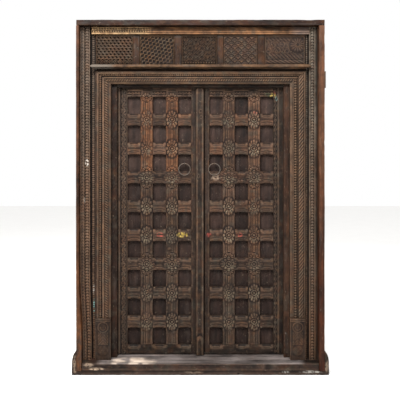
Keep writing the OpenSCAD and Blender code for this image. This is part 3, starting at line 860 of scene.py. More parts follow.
def comma_pits(p, q, w, h):
    row = np.floor(q / 19)
    along = centred((p + 13.5 * (row % 2)) / 27) * 27
    up = (q / 19 - row - 0.5) * 19
    bowl = dome(np.hypot((along + 0.5 * up) / 8, up / 7))
    tail = ridge(along - 7 - 0.9 * up, 2.4) * (np.abs(up) < 9)
    carved = 0.6 - 1.3 * bowl + 0.45 * tail
    big = 0.9 * ring_chain((q - 15) / 15, p, 32, 15)
    return np.where(q < 30, big, carved)


def scrolls(p, q, w, h):
    """Slanting strokes that curl at their ends, nearly worn away at the lower right."""
    a, b = (p + q) / 40, (p - q) / 30
    row = np.round(b)
    along = centred(a + 0.5 * (row % 2))
    bend = centred(b - 0.18 * np.sin(2 * np.pi * along))
    stroke = ridge(bend, 0.24) * smooth((0.46 - np.abs(along)) * 9)
    vein = ridge(bend, 0.06)
    ends = dome(np.hypot((np.abs(along) - 0.4) * 40, bend * 30) / 8)
    carved = np.maximum(stroke - 0.5 * vein, ends)
    worn = smooth((p / w - q / h - 0.2) * 2.2)
    return carved * (1 - 0.7 * worn) + 0.3 * worn


def diamonds(p, q, w, h):
    a, b = (p + q) / 20, (p - q) / 20
    lines = np.minimum(np.abs(centred(a)), np.abs(centred(b)))
    bead = dome(np.hypot(centred(a + 0.5), centred(b + 0.5)) / 0.3)
    carved = np.maximum(bead, 0.45 * smooth(1 - lines * 9))
    dots = bead_row((q - 9) / 9, p, 18, 9, 7)
    return np.where(q < 18, dots, carved)


def fish_scales(p, q, w, h):
    """Rows of arches, staggered, with a short stem under each."""
    row = np.floor(q / 23)
    across = centred((p + 23.5 * (row % 2)) / 47) * 2
    up = q / 23 - row
    arch = 0.88 - 0.75 * across**2
    cut = ridge(up - arch, 0.17) + 0.4 * lobe(across * 3) * (up < arch - 0.2)
    return 0.9 - cut


def foliage(p, q, w, h):
    """Worn leaves, with rays at the upper right and a row of slanting leaves below."""
    waves = vine((q - 0.62 * h) / (0.34 * h), p, 62, 0.34 * h)
    away_x, away_z = p - 0.84 * w, q - 0.72 * h
    away = np.hypot(away_x, away_z)
    rays = lobe(np.arctan2(away_z, away_x) * 2.2) * smooth((70 - away) / 40) * smooth((away - 6) / 6)
    leaves = rope((q - 16) / 16, p, 33, 0.9)
    ground = np.maximum(0.8 * waves, 0.6 * rope(0 * p, p + q, 26))
    carved = np.where(away < 62, np.maximum(rays, 0.3), ground)
    return np.where(q < 32, leaves, carved * 0.85)


def frieze_carving(lo, hi, pattern, depth, seed):
    margin = 8

    def carve(a, v):
        p, q = a - lo[0] - margin, v - lo[2] - margin
        w, h = hi[0] - lo[0] - 2 * margin, hi[2] - lo[2] - 3 * margin
        field = (p > 0) & (p < w) & (q > 0) & (q < h)
        carved = -1 - depth + depth * pattern(p, q, w, h)
        carved = rubbed_down(carved, a, v, seed, 0.35, -3)
        edge_away = np.minimum(np.minimum(p, w - p), np.minimum(q, h - q))
        border = -1.2 - 2.6 * ridge(edge_away + 4, 1.2)
        return np.where(field, carved, border)

    return carve


def make_frieze():
    patterns = [comma_pits, scrolls, diamonds, fish_scales, foliage]
    tones = [(73, 59, 46), (92, 71, 50), (72, 53, 38), (81, 65, 56), (106, 86, 75)]
    depths = [9, 9, 9, 4.5, 4.5]
    for i, (pattern, screen_tone, depth) in enumerate(zip(patterns, tones, depths)):
        tone = srgb(*screen_tone)
        lo, hi = corners(f"frieze_panel_{i + 1}")
        piece = Piece()
        timber(piece, (lo[0] + 0.5, hi[0] - 0.5), (lo[1], hi[1]), (lo[2], hi[2]),
               even(tone, 60 + i, 0.2), along="x", step=(3.0, 3.2),
               carve=across_first(frieze_carving(lo, hi, pattern, depth, 62 + i)), edge=1.4, seed=61 + i)
        piece.finish(f"frieze_panel_{i + 1}", "carved", "frame", CARVED)
    for i in range(4):
        lo, hi = corners(f"frieze_block_{i + 1}")
        tint = capped(even(BLOCK_BROWN, 80 + i, 0.3), hi[2] - 19)
        piece = Piece()
        timber(piece, *zip(lo, hi), tint, step=(6, 8),
               carve=lambda a, v, top=hi[2]: -1.5 * ridge(v - top + 19, 1.6), edge=2.4, rough=1.4,
               seed=81 + i)
        piece.finish(f"frieze_block_{i + 1}", "worn", "frame", BLOCKS)
    plain_timber("frieze_back_board", even(DARK_UMBER, 86), step=(14, 22))


def across_first(carve):
    """Turns carve(x, z) into the order that a timber along X passes: (z, x)."""
    return lambda across, along: carve(along, across)


def capped(tint, z):
    """A greyer cap on top of a block."""
    return lambda p: blended(tint(p), srgb(118, 106, 92) * AGED, smooth((p[:, 2] - z) / 4) * 0.7)


def plain_timber(node, tint, **rest):
    """A plain level timber of the frame, in the place of a CAD node that is one box."""
    lo, hi = corners(node)
    piece = Piece()
    timber(piece, *zip(lo, hi), tint, along="x", **rest)
    piece.finish(node, "worn", "frame", PLANKS)


# ---- Ledge, casing and base blocks ----

def make_ledge():
    lo, hi = corners("transom_ledge")
    mid = (lo[2] + hi[2]) / 2
    tip = 17

    def bend(p):
        share = np.clip((hi[0] + 1 - np.abs(p[:, 0])) / tip, 0.06, 1)
        p[:, 2] = mid + (p[:, 2] - mid) * share
        return p

    def nosing(a, v):
        """A bulging front with a fine line under its upper edge."""
        across = (a - mid) / (hi[2] - mid)
        return -11 * across**4 - 1.4 * ridge(a - hi[2] + 9, 1.1) - 2.2 * smooth(flat_noise(a, v, 60, 91))

    def tint(p):
        base = even(LEDGE_BROWN, 92, 0.5)(p)
        grey = smooth(1.8 * noise(p[:, 0], 0, 0, 160, 95) - 0.2) * 0.7
        base = blended(base, srgb(112, 100, 88) * AGED, grey)
        return blended(base, srgb(190, 176, 160) * AGED, smooth((-560 - p[:, 0]) / 80) * 0.8)

    piece = Piece()
    timber(piece, (lo[0], hi[0]), (lo[1], band_front), (lo[2] + 5, hi[2]), tint, along="x",
           step=(3.4, 6.0), side_step=8, carve=nosing, edge=3.0, rough=1.2, seed=93, bend=bend)
    timber(piece, (-casing_out, casing_out), (band_front, casing_back), (lo[2], hi[2]), tint,
           along="x", step=(12, 30), edge=2, seed=94)
    piece.finish("transom_ledge", "worn", "frame", BLOCKS)


def left_casing_profile(w, v):
    """From the outer edge: fillet, bead row, dotted groove, fillet, leaf row, plain margin."""
    h = np.full(w.shape, -6.0)
    h = np.where(w < 24, -4.5 + 1.5 * dome((w - 12) / 13), h)
    h = strand(h, w, 33, 9, -10, 9.5, lambda s: bead_row(s, v, 13.5, 9, 6.8))
    h = np.where(inside(w, 42, 47.5), -10, h)
    h = pits(h, w, v + 6.7, 44.5, 13.5, 4, 4)
    h = np.where(inside(w, 48, 61), -4.5, h)
    h = strand(h, w, 76, 14, -11, 10.5, lambda s: np.maximum(rope(s, v, 17, 0.5) * 0.8,
                                                         bead_row(s, v + 8.5, 17, 14, 7.5)))
    return np.where(w > 91, -6.5 - 4 * smooth((w - 101) / 7), h)


def right_casing_profile(w, v):
    """From the outer edge: fillet, a broad twisted rope, a groove, a bead row, plain margin."""
    h = np.full(w.shape, -6.0)
    h = strand(h, w, 29, 18, -8.5, 8.5, lambda s: rope(s, v, 25, 0.9))
    h = np.where(inside(w, 48, 57), -11, h)
    h = strand(h, w, 69, 11, -11, 10.5, lambda s: bead_row(s, v, 18, 11, 8.2))
    h = np.where(inside(w, 9, 11), -9, h)
    return np.where(w > 83, -6.5 - 4 * smooth((w - 101) / 7), h)


def make_casings():
    slope = header_h / casing_w
    for side, word in SIDES.items():
        profile = left_casing_profile if side == LEFT else right_casing_profile

        def carve(a, v, profile=profile, side=side):
            h = profile(casing_out - np.abs(a), v)
            return rubbed_down(h, a, v, 100 + side, 0.35, -5)

        def warp(across, depth, length):
            top = header_lo[2] + (np.abs(across) - casing_in) * slope
            share = (length - casing_lo[2]) / (header_hi[2] - casing_lo[2])
            return casing_lo[2] + share * (top - casing_lo[2])

        high = srgb(126, 103, 87) if side == LEFT else srgb(142, 118, 98)
        low = srgb(100, 77, 62) if side == LEFT else srgb(90, 70, 56)
        piece = Piece()
        timber(piece, span(side, casing_in, casing_out), (casing_lo[1], casing_back),
               (casing_lo[2], header_hi[2]), patina(high, low, 102 + side),
               step=(3.0, 3.8), side_step=30, carve=carve, edge=1.4, seed=104 + side, warp=warp)
        piece.finish(f"{word}_casing", "carved", "frame", CARVED)


def make_header():
    def carve(a, v):
        w = (header_hi[2] - a) * casing_w / header_h
        return rubbed_down(left_casing_profile(w, v), a, v, 107, 0.3, -5)

    def warp(across, depth, length):
        half = casing_in + (across - header_lo[2]) * casing_w / header_h
        return length * half / casing_out

    piece = Piece()
    timber(piece, (-casing_out, casing_out), (header_lo[1], header_hi[1]), (header_lo[2], header_hi[2]),
           even(HEADER_BROWN, 108, 0.2), along="x", step=(3.0, 3.8), side_step=30, carve=carve,
           edge=1.4, seed=109, warp=warp)
    piece.finish("casing_header", "carved", "frame", CARVED)


def base_carving(a, v):
    """A ring at the top, crossed leaves under it and a round cross-hatched pot."""
    x = np.abs(a) - (casing_in + casing_out) / 2
    top = base_hi[2]
    pot_z, ring_z = base_lo[2] + 66, top - 62
    h = np.full(a.shape, -5.0)
    away = np.hypot(x, v - ring_z)
    h = h + 3.2 * ridge(away - 34, 4.0) + 2.0 * ridge(away - 19, 4) * (v < ring_z + 4)
    up = v - pot_z - 44
    leaves = np.maximum(lobe((up + 1.2 * np.abs(x)) / 21) * (np.abs(x) < 34), ridge(x, 3.4))
    leaves = leaves * inside(up, -4, 80)
    serrated = 0.55 + 0.45 * lobe((v + np.abs(x)) / 12)
    h = np.maximum(h, -5 + 3.0 * leaves * serrated * (away > 38))
    pot = np.hypot(x / 37, (v - pot_z) / 37)
    hatch = np.maximum(lobe((x + v) / 15), lobe((x - v) / 15))
    h = np.where(pot < 1, -6 + 5.5 * dome(pot) * (0.45 + 0.55 * hatch), h)
    h = np.where(np.abs(x) > casing_w / 2 - 6, -3.5, h)
    h = np.where(v > top - 22, -1.5 - 3 * ridge(v - top + 16, 2.4), h)
    h = 0.6 * h - 1.2
    return rubbed_down(h, a, v, 112, 0.35, -3)


def make_base_blocks():
    for side, word in SIDES.items():
        piece = Piece()
        timber(piece, span(side, casing_in, casing_out), (base_lo[1], base_hi[1]),
               (sill_back_z, base_hi[2]), patina(UMBER, srgb(116, 92, 75), 113 + side, 0.25),
               step=(2.8, 3.0), side_step=20, carve=base_carving, edge=2.2, rough=1.0, seed=115 + side,
               warp=foot_on_sill(sill_back_z))
        piece.finish(f"{word}_base_block", "carved", "frame", CARVED)


# ---- Jambs, head stop and door head ----

def make_jambs():
    for side, word in SIDES.items():
        piece = Piece()
        # Painted shade and light: the left jamb is darkened as a reveal in shade, the right one lightened as
        # a lit reveal.
        tone = shade(JAMB_BROWN, 0.7) if side == LEFT else shade(JAMB_BROWN, 2.3)
        tint = patina(tone, shade(tone, 0.92), 120 + side, 0.3)
        timber(piece, span(side, jamb_lo[0], casing_out), (casing_back, stop_back),
               (sill_back_z, jamb_hi[2]), tint, step=(10, 16), side_step=10, edge=3, rough=1.2,
               seed=122 + side, warp=foot_on_sill(sill_back_z))
        timber(piece, span(side, jamb_rear_in, casing_out), (stop_back, back),
               (sill_back_z, jamb_hi[2]), tint, step=(25, 40), side_step=20, edge=3, seed=124 + side)
        piece.finish(f"{word}_jamb", "worn", "frame", BLOCKS)
    plain_timber("head_stop", even(STOP_BROWN, 126), step=(6, 12), seed=127, edge=3)
    plain_timber("door_head", even(UMBER, 128), step=(16, 24), seed=129, edge=3.5, rough=1.5)


# ---- Threshold ----

def make_threshold():
    front = sill_lo[1]
    horn_in, frame_x = band_out, board_hi[0]
    horn_h = sill_hi[2]

    def tint(p):
        x, y, z = p.T
        base = patina(shade(SILL_BROWN, 0.95), shade(SILL_BROWN, 0.9), 130, 0.4)(p)
        tread = smooth((z - sill_front_z + 6) / 6) * smooth((40 - y) / 30)
        tread = tread * smooth((casing_out - np.abs(x)) / 60)
        base = blended(base, TREAD_GREY * 0.75, tread * (0.6 + 0.3 * noise(x, y, z, 140, 131)))
        bare = smooth(1.6 - ((x + 455) / 150) ** 2 - ((y + 80) / 60) ** 2) * tread
        base = blended(base, srgb(190, 172, 156), bare * smooth(0.65 + noise(x, y, z, 30, 132)))
        hollow = smooth((sill_front_z - 45 - z) / 30) * (y < front + 12)
        return blended(base, srgb(74, 60, 54) * AGED, hollow * 0.45)

    def bend(p):
        """Slopes the top down to the front, and wears it where people step."""
        x, y, z = p.T
        share = z / sill_back_z
        tread = np.exp(-((np.abs(x) - 190) / 260) ** 2) * np.exp(-((y + 70) / 60) ** 2)
        p[:, 2] = share * (on_sill(y) - 5 * tread * share)
        return p

    def front_face(a, v):
        """A worn nose above a slightly hollow face with splits and knocks."""
        dents = -2.2 * smooth(1.8 * flat_noise(a * 1.6, v, 70, 133) - 0.5)
        knocks = -4 * smooth(3 * flat_noise(a * 1.3, v, 30, 134) - 1.6) * smooth((34 - a) / 20)
        return dents + knocks - 2.0 * ridge(a - 30, 9)

    def horn_bend(p):
        """Rounds a horn's outer end as a quarter of an ellipse."""
        mid = horn_h / 2
        high = np.clip((p[:, 2] - mid) / mid, 0, 0.985)
        reach = np.sqrt(1 - high**2)
        away = np.abs(p[:, 0]) - frame_x
        p[:, 0] = np.sign(p[:, 0]) * (frame_x + np.where(away > 0, away * reach, away))
        return p

    piece = Piece()
    timber(piece, (-horn_in - 0.5, horn_in + 0.5), (front, back), (0, sill_back_z), tint, along="x",
           step=(6, 8), side_step=9, back_step=40, carve=front_face, rough=1.6, chips=1.6,
           edge=lambda a, y: np.where((a > 40) & (y < front + 25), 9.0, 2.5), seed=135, bend=bend)
    for side in SIDES:
        timber(piece, span(side, frame_x + 0.4, sill_hi[0]), (front, back), (0, horn_h), tint,
               step=(4, 5), side_step=12, edge=5, rough=1.6, seed=137 + side, bend=horn_bend)
        timber(piece, span(side, horn_in, frame_x), (board_lo[1] + TOE_DEPTH + 1, back),
               (0, horn_h - 0.5), tint, step=(12, 20), side_step=30, edge=1.5, seed=139 + side)
        timber(piece, span(side, horn_in - 4, frame_x + 4), (front, board_lo[1] + TOE_DEPTH + 5),
               (0, 26), tint, step=(5, 6), side_step=10, edge=3, seed=141 + side)
    piece.finish("threshold", "worn", "frame", SILL)


# ---- Lattice ----

BAR_FACE = -rosette_rise
lattice_front = leaf_front - rosette_rise
WIDE_LIP = 17
NARROW_LIP = 4
LIP_RAMP = 24


def cell_lip(away, along, length, lip):
    """The stopped chamfer on a cell's edge: away is into the bar, along from the cell's middle."""
    reach = lip * np.clip((length / 2 - np.abs(along)) / LIP_RAMP, 0, 1)
    fall = 0.62 * np.minimum(reach, 16) * (reach > 0.6)
    slope = -fall * np.clip(1 - away / np.maximum(reach, 0.5), 0, 1)
    line = -2.0 * ridge(away - reach - 2.4, 1.3) * smooth((length / 2 + 2 - np.abs(along)) / 4)
    return slope + line * (away > 0) * (lip > NARROW_LIP)


def rosette(x, z, wide, high, seed):
    """A boss in a ring of petals, in an oval lotus that fills the crossing."""
    away = np.hypot(x, z)
    turn = np.arctan2(z, x)
    oval = np.hypot(x / wide, z / high)
    boss = dome(away / 8)
    ring = ridge(away - 17.5, 4.2) * (0.5 + 0.5 * lobe(4 * turn / np.pi))
    around = np.arctan2(z / high, x / wide)
    petal = lobe(6 * around / np.pi + 0.5)
    lotus = (0.2 + 0.8 * petal) * smooth((1.02 - oval - 0.12 * (1 - petal)) / 0.1)
    lotus = lotus * smooth((away - 24) / 4) * (0.45 + 0.55 * smooth((1.04 - oval) / 0.3))
    worn = 0.75 + 0.25 * math.sin(seed * 5.3)
    hacked = 0.68 + 0.32 * flat_noise(x + 97 * seed, z, 8, seed)
    flower = np.maximum(boss, np.maximum(ring, 0.95 * lotus)) * hacked
    ground = -1.4 * smooth((1.04 - oval) / 0.3)
    return BAR_FACE + ground + (rosette_rise + 1.2) * worn * flower


def with_rosette(h, x, z, wide, high, seed):
    oval = np.hypot(x / wide, z / high)
    return np.where(oval < 1.04, rosette(x, z, wide, high, seed), h)


def half_lotus(x, z):
    """A fan of petals that opens from the bar's end, with z away from the end."""
    away = np.hypot(x, z)
    petal = lobe(5 * np.arctan2(z, x) / np.pi + 0.5)
    fan = (0.2 + 0.8 * petal) * smooth((37 - away - 5 * (1 - petal)) / 4) * smooth((away - 14) / 4)
    heart = dome(away / 11)
    return np.where((z > 0) & (away < 39), -3.0 + 6.5 * np.maximum(fan, 0.8 * heart), 0)


def flutes(across, along, length):
    """Stopped grooves down a bar, with a reed between them."""
    run = smooth((length / 2 - 6 - np.abs(along)) / 5)
    grooves = ridge(np.abs(across) - 9, 2.2) + 0.8 * ridge(np.abs(across) - 21, 2.0)
    return -2.6 * run * grooves


def upright_carving(side, column, first):
    middle = side * bar_x(column)
    half = bar_w / 2

    def carve(a, v):
        across = a - middle
        h = np.full(a.shape, float(BAR_FACE))
        for row in range(first, first + LIFT_ROWS):
            along = v - cell_z(row)
            near = np.abs(along) < pitch_z / 2
            h = h + np.where(near, flutes(across, along, cell_h), 0)
            for edge in (-1, 1):
                h = h + np.where(near, cell_lip(half - edge * across, along, cell_h, NARROW_LIP), 0)
        for row in range(first, first + LIFT_ROWS - 1):
            h = with_rosette(h, across, v - bar_z(row), 42, 64, row + 9 * column + side)
        low, high = cell_z(first) - cell_h / 2, cell_z(first + LIFT_ROWS - 1) + cell_h / 2
        h = h + half_lotus(across, high - v) + (half_lotus(across, v - low) if first else 0)
        return rubbed_down(h, a, v, 150 + column, 0.3, BAR_FACE / 2)

    return carve


def level_carving(side, z_mid, half, rows, flowers, strip=None):
    """Carving of a level bar: lips over and under its cells, and flowers at the crossings."""
    def carve(a, v):
        up = a - z_mid
        h = np.full(a.shape, float(BAR_FACE))
        for column in range(COLUMNS):
            along = v - side * cell_x(column)
            near = np.abs(along) < pitch_x / 2
            for edge in (-1, 1):
                if edge in rows:
                    lip = WIDE_LIP if edge > 0 else NARROW_LIP * 2
                    h = h + np.where(near, cell_lip(half - edge * up, along, cell_w, lip), 0)
            if flowers != "none":
                scallop = ridge(up + 16 + 10 * (along / cell_w) ** 2 * 4, 2.2)
                scallop = scallop * (np.abs(along) < cell_w * 0.42)
                h = h - np.where(near, 2.0 * scallop, 0)
        if flowers == "whole":
            for column in range(COLUMNS - 1):
                h = with_rosette(h, v - side * bar_x(column), up, 60, 40, column + 3 * side + z_mid)
        if strip:
            h = strip(h, a, v)
        return rubbed_down(h, a, v, int(z_mid) % 50 + 160, 0.35, BAR_FACE / 2)

    return carve


def bar_range(row):
    """Z range of a level bar."""
    return bar_z(row) - bar_w / 2, bar_z(row) + bar_w / 2


def bar_tint(x, z, seed, orange=0.0):
    """Upper bars are lighter and warmer, lower ones dark, and each has its own shade."""
    height = smooth((z - 350) / 1300)
    high = srgb(118, 98, 86) * (1 - orange) + srgb(146, 98, 66) * orange
    tone = srgb(94, 79, 69) * (1 - height) + high * height
    own = 0.94 + 0.3 * math.sin(seed * 7.1 + x * 0.013)
    base = even(tone * own, seed, 0.2)

    def tint(p):
        """Pale dust on the rosettes, with a painted highlight on their lower halves, where the petals face
        up.
        """
        across = centred((np.abs(p[:, 0]) - bar_x(0)) / pitch_x) * pitch_x
        up = centred((p[:, 2] - bar_z(0)) / pitch_z) * pitch_z
        near = (np.abs(p[:, 0]) > bar_x(0) - 60) & (np.abs(p[:, 0]) < bar_x(1) + 60)
        near = near & (p[:, 2] > bar_z(0) - 70) & (p[:, 2] < bar_z(ROWS - 2) + 70)
        dust_and_highlight = smooth(2.5 * (1.05 - np.hypot(across / 48, up / 62))) * near
        speckled = np.clip(0.5 + 0.9 * noise(*p.T, 9, seed + 7), 0, 1)
        # Painted highlight: the lower half of each rosette is paler, as if lit from above.
        lower = 0.3 + 0.7 * smooth(0.5 - up / 40)
        dust_and_highlight = dust_and_highlight * speckled * lower * (1 - 0.4 * orange)
        return blended(base(p), srgb(164, 150, 124) * AGED * 1.25, dust_and_highlight * 0.75)

    return tint


def make_lattice(side, word):
    body = f"{word}_leaf"
    uprights = Piece()
    for column in range(COLUMNS - 1):
        for first in range(0, ROWS, LIFT_ROWS):
            x = side * bar_x(column)
            z0 = cell_z(first) - cell_h / 2
            z1 = z0 + LIFT_ROWS * pitch_z - bar_w
            seed = 170 + 10 * column + first + 3 * side
            bright = (side, first) == (LEFT, 6) or (side, first, column) == (RIGHT, 3, 1)
            orange = 0.95 if bright else 0.3
            timber(uprights, (x - bar_w / 2, x + bar_w / 2), (lattice_front, plank_front), (z0, z1),
                   bar_tint(x, z0 + 250, seed, orange), step=(3.4, 4.3),
                   carve=upright_carving(side, column, first), edge=1.6, seed=seed)
    uprights.finish(f"{word}_uprights", "carved", body, LATTICE)

    crossbars = Piece()
    for row in range(ROWS - 1):
        if row in THROUGH_ROWS:
            continue
        for column in range(COLUMNS):
            x = side * cell_x(column)
            seed = 200 + 5 * row + column + 40 * side
            timber(crossbars, (x - cell_w / 2, x + cell_w / 2), (lattice_front, plank_front),
                   bar_range(row), bar_tint(x, bar_z(row), seed, 0.2 + 0.3 * (seed % 3 == 0)),
                   along="x", step=(3.8, 4.8), edge=1.6, seed=seed,
                   carve=level_carving(side, bar_z(row), bar_w / 2, (-1, 1), "ends"))
    crossbars.finish(f"{word}_crossbars", "carved", body, LATTICE)

    for name, row in zip(("lower", "upper"), THROUGH_ROWS):
        seed = 240 + row + side
        rail = Piece()
        timber(rail, span(side, cell_x0, cell_x1), (lattice_front, plank_front),
               bar_range(row), bar_tint(0, bar_z(row), seed, 0.25), along="x",
               step=(3.5, 4.1), edge=1.6, seed=seed,
               carve=level_carving(side, bar_z(row), bar_w / 2, (-1, 1), "whole"))
        rail.finish(f"{word}_{name}_rail", "carved", body, LATTICE)


def make_end_rails(side, word):
    body = f"{word}_leaf"

    def top_strip(h, a, v):
        """A floral strip over the cells, with a plain strip above it."""
        up = a - cell_z1
        carved = strand(h, up, 25, 12, BAR_FACE - 3, 4.5, lambda s: vine(s, v, 44, 12))
        carved = np.where(inside(up, 38, 41), BAR_FACE - 3, carved)
        for column in range(COLUMNS - 1):
            across = v - side * bar_x(column)
            carved = np.where(np.abs(across) < 40, h + half_lotus(across, up + 8), carved)
        return carved

    rail = Piece()
    mid, half = (cell_z1 + leaf_z1) / 2, (leaf_z1 - cell_z1) / 2
    timber(rail, span(side, cell_x0, cell_x1), (lattice_front, plank_front), (cell_z1, leaf_z1),
           bar_tint(0, 1700, 250 + side, 0.1), along="x", step=(3.5, 4.1),
           carve=level_carving(side, mid, half, (-1,), "none", top_strip), edge=1.6, seed=251 + side)
    rail.finish(f"{word}_top_rail", "carved", body, LATTICE)
    rail = Piece()
    mid, half = (leaf_z0 + cell_z0) / 2, (cell_z0 - leaf_z0) / 2
    timber(rail, span(side, cell_x0, cell_x1), (lattice_front, plank_front), (leaf_z0, cell_z0),
           bar_tint(0, 300, 254 + side), along="x", step=(4.0, 4.5),
           carve=level_carving(side, mid, half, (1,), "none"), edge=2.0, rough=1.2, seed=255 + side)
    rail.finish(f"{word}_bottom_rail", "carved", body, LATTICE)


def stile_lips(a, v, edge_x):
    """Lips of the nine cells beside a stile, whose edge is at edge_x from the middle."""
    away = np.abs(np.abs(a) - edge_x)
    total = np.zeros(a.shape)
    for row in range(ROWS):
        along = v - cell_z(row)
        total = total + np.where(np.abs(along) < pitch_z / 2, cell_lip(away, along, cell_h, NARROW_LIP), 0)
    return total


def make_stiles(side, word):
    body = f"{word}_leaf"
    lo, hi = corners(f"{word}_hanging_stile")
    rear_in = plank_hi[0]
    shrink = (plank_front - leaf_front) / (plank_back - leaf_front)
    centre, half = (536, 22) if side == LEFT else (523, 14)
    gain = 0.95 if side == LEFT else 0.42

    def carve(a, v):
        w = np.abs(a)
        h = -0.8 + stile_lips(a, v, cell_x1)
        h = strand(h, w, centre, half, -4.5, 4.2, lambda s: vine(s, v, pitch_z / 3, half))
        h = h - 2 * ridge(w - centre - half - 2.5, 1.3) - 1.5 * ridge(w - centre + half + 2.5, 1.2)
        return rubbed_down(h, a, v, 260 + side, 0.6)

    def bend(p):
        thin = np.abs(p[:, 0]) < rear_in
        p[thin, 1] = leaf_front + (p[thin, 1] - leaf_front) * shrink
        return p

    def pivot_edge(across, depth):
        return np.where(np.abs(across) > pivot_x - 1, (plank_back - leaf_front) / 2 - 0.1, 1.6)

    piece = Piece()
    timber(piece, (lo[0], hi[0]), (leaf_front, plank_back), (lo[2], hi[2]),
           patina(shade(srgb(124, 106, 94), gain), shade(srgb(92, 75, 64), gain), 262 + side),
           step=(3.6, 5.4), side_step=13, back_step=14, carve=carve, edge=pivot_edge,
           seed=264 + side, back_at=(side * rear_in,), bend=bend)
    piece.finish(f"{word}_hanging_stile", "carved", body, CARVED)

    lo, hi = corners(f"{word}_meeting_stile")
    piece = Piece()
    timber(piece, *zip(lo, hi), patina(srgb(102, 86, 75), srgb(84, 68, 58), 266 + side),
           step=(3.6, 5.6), side_step=20,
           carve=lambda a, v: rubbed_down(-0.6 + stile_lips(a, v, cell_x0), a, v, 268), edge=1.6,
           seed=269 + side)
    piece.finish(f"{word}_meeting_stile", "carved", body, CARVED)


def make_backs(side, word):
    """Planks behind the lattice, and the ledges across them."""
    body = f"{word}_leaf"
    lo, hi = corners(f"{word}_planks")
    inner, outer = (lo[0] - 1.9, hi[0]) if side == RIGHT else (-hi[0] - 2.5, -lo[0])
    width = (outer - inner) / 3
    thick = hi[1] - lo[1]

    def bend(p):
        """Slants the meeting edge, so that no daylight shows between the leaves."""
        edge = np.clip(1 - np.abs(p[:, 0] - side * inner) / 12, 0, 1)
        p[:, 0] -= edge * 1.0 * (p[:, 1] - lo[1]) / thick
        return p

    piece = Piece()
    for i in range(3):
        low = inner + i * width + (0.8 if i else 0.0)
        high = inner + (i + 1) * width - 0.3
        x = (low, high) if side == RIGHT else (-high, -low)
        own = 1 + 0.12 * math.sin(3.7 * i + side)
        timber(piece, x, (lo[1], hi[1]), (lo[2], hi[2]), patina(DUSTY_PLANK * own, DARK_PLANK * own,
               280 + i + 5 * side, 0.2, 500, 1750, 0.35), step=(16, 26), side_step=12, back_step=24,
               edge=1.5 if i else 0.4, rough=1.0 if i else 0, chips=1 if i else 0,
               seed=281 + i + 5 * side, bend=None if i else bend)
    piece.finish(f"{word}_planks", "worn", body, PLANKS)

    lo, hi = corners(f"{word}_back_ledges")
    height = 90
    rows = (0.45, 3, 6, 8.6)
    piece = Piece()
    for i, row in enumerate(rows):
        mid = cell_z0 + row * pitch_z - bar_w / 2
        timber(piece, (lo[0], hi[0]), (lo[1], hi[1]), (mid - height / 2, mid + height / 2),
               patina(srgb(108, 86, 70), srgb(90, 70, 57), 290 + i + side), along="x", step=(14, 24),
               side_step=8, back_step=14, edge=4, rough=1.4, seed=291 + i + side)
    piece.finish(f"{word}_back_ledges", "worn", body, PLANKS)


def make_astragal():
    lo, hi = corners("astragal")
    mid = (lo[0] + hi[0]) / 2
    half = (hi[0] - lo[0]) / 2
    foot_r = half - 6
    foot_top = lo[2] + 134
    body_level = -5.0
    knots = [(mid + 6, 1792, 7), (mid + 9, 1750, 6), (mid - 8, 1340, 6)]

    def carve(a, v):
        across = a - mid
        h = body_level - 6 * np.clip((np.abs(across) - half + 10) / 9, 0, 1) ** 1.3
        crown = np.hypot(across, np.maximum(v - foot_top + foot_r, 0))
        tablet = smooth((foot_r - crown) / 2.5)
        h = np.where(tablet > 0, np.maximum(h, body_level + (4.6 - 2.2 * (crown / foot_r) ** 4) * tablet), h)
        h = h - 1.6 * ridge(crown - foot_r - 3, 1.6) * (v < foot_top + 6)
        for x, z, r in knots:
            away = np.hypot(a - x, (v - z) * 0.8)
            h = h - 2.2 * dome(away / r) + 0.8 * ridge(away - r - 2, 2)
        return h - 1.5 * smooth(1.5 * flat_noise(a * 3, v, 160, 301) - 0.2)

    def bend(p):
        """Rounds the top corners."""
        near = np.clip((p[:, 2] - hi[2] + 16) / 16, 0, 1)
        p[:, 0] = mid + (p[:, 0] - mid) * (1 - 0.35 * near**2)
        return p

    piece = Piece()
    timber(piece, (lo[0], hi[0]), (lo[1], leaf_front), (lo[2], hi[2]),
           patina(srgb(92, 79, 70), srgb(62, 49, 41), 302, 0.3, 500, 1700), step=(3.2, 6.0),
           side_step=8, carve=carve, edge=2.2, rough=1.2, seed=303, bend=bend)
    piece.finish("astragal", "worn", "left_leaf", LATTICE)


# ---- Iron ----

def forged_ring(word):
    """A ring pull hammered from bar, a little uneven, thinner where it hangs in its eye."""
    lo, hi = corners(f"{word}_ring")
    middle = (lo + hi) / 2
    wire = (hi[1] - lo[1]) / 2
    radius = (hi[0] - lo[0]) / 2 - wire
    around, section = 120, 20
    u = np.linspace(0, 2 * np.pi, around, endpoint=False)[:, None]
    v = np.linspace(0, 2 * np.pi, section, endpoint=False)[None, :]
    uneven = noise(np.cos(u) * 40, np.sin(u) * 40, 0 * v, 14, 310) * 0.05
    hammered = noise(np.cos(u) * 40, np.sin(u) * 40, np.sin(v) * 8, 6, 311) * 0.05
    r = wire * (0.95 + np.minimum(uneven + hammered, 0.05) - 0.12 * np.exp(-((u - np.pi / 2) / 0.2) ** 2))
    ring = radius + r * np.cos(v)
    points = np.stack([middle[0] + ring * np.cos(u), middle[1] + r * np.sin(v),
                       middle[2] + ring * np.sin(u)], -1).reshape(-1, 3)
    index = np.arange(around * section).reshape(around, section)
    nxt = np.roll(index, -1, axis=0)
    quads = np.stack([index, np.roll(index, -1, 1), np.roll(nxt, -1, 1), nxt], -1).reshape(-1, 4)
    count = len(points)
    piece = Piece()
    piece.add(points, quads, [], points * MM, np.ones((count, 3)) * 0.05, np.zeros(count), np.zeros(count))
    piece.finish(f"{word}_ring", "forged", f"{word}_ring", IRON)


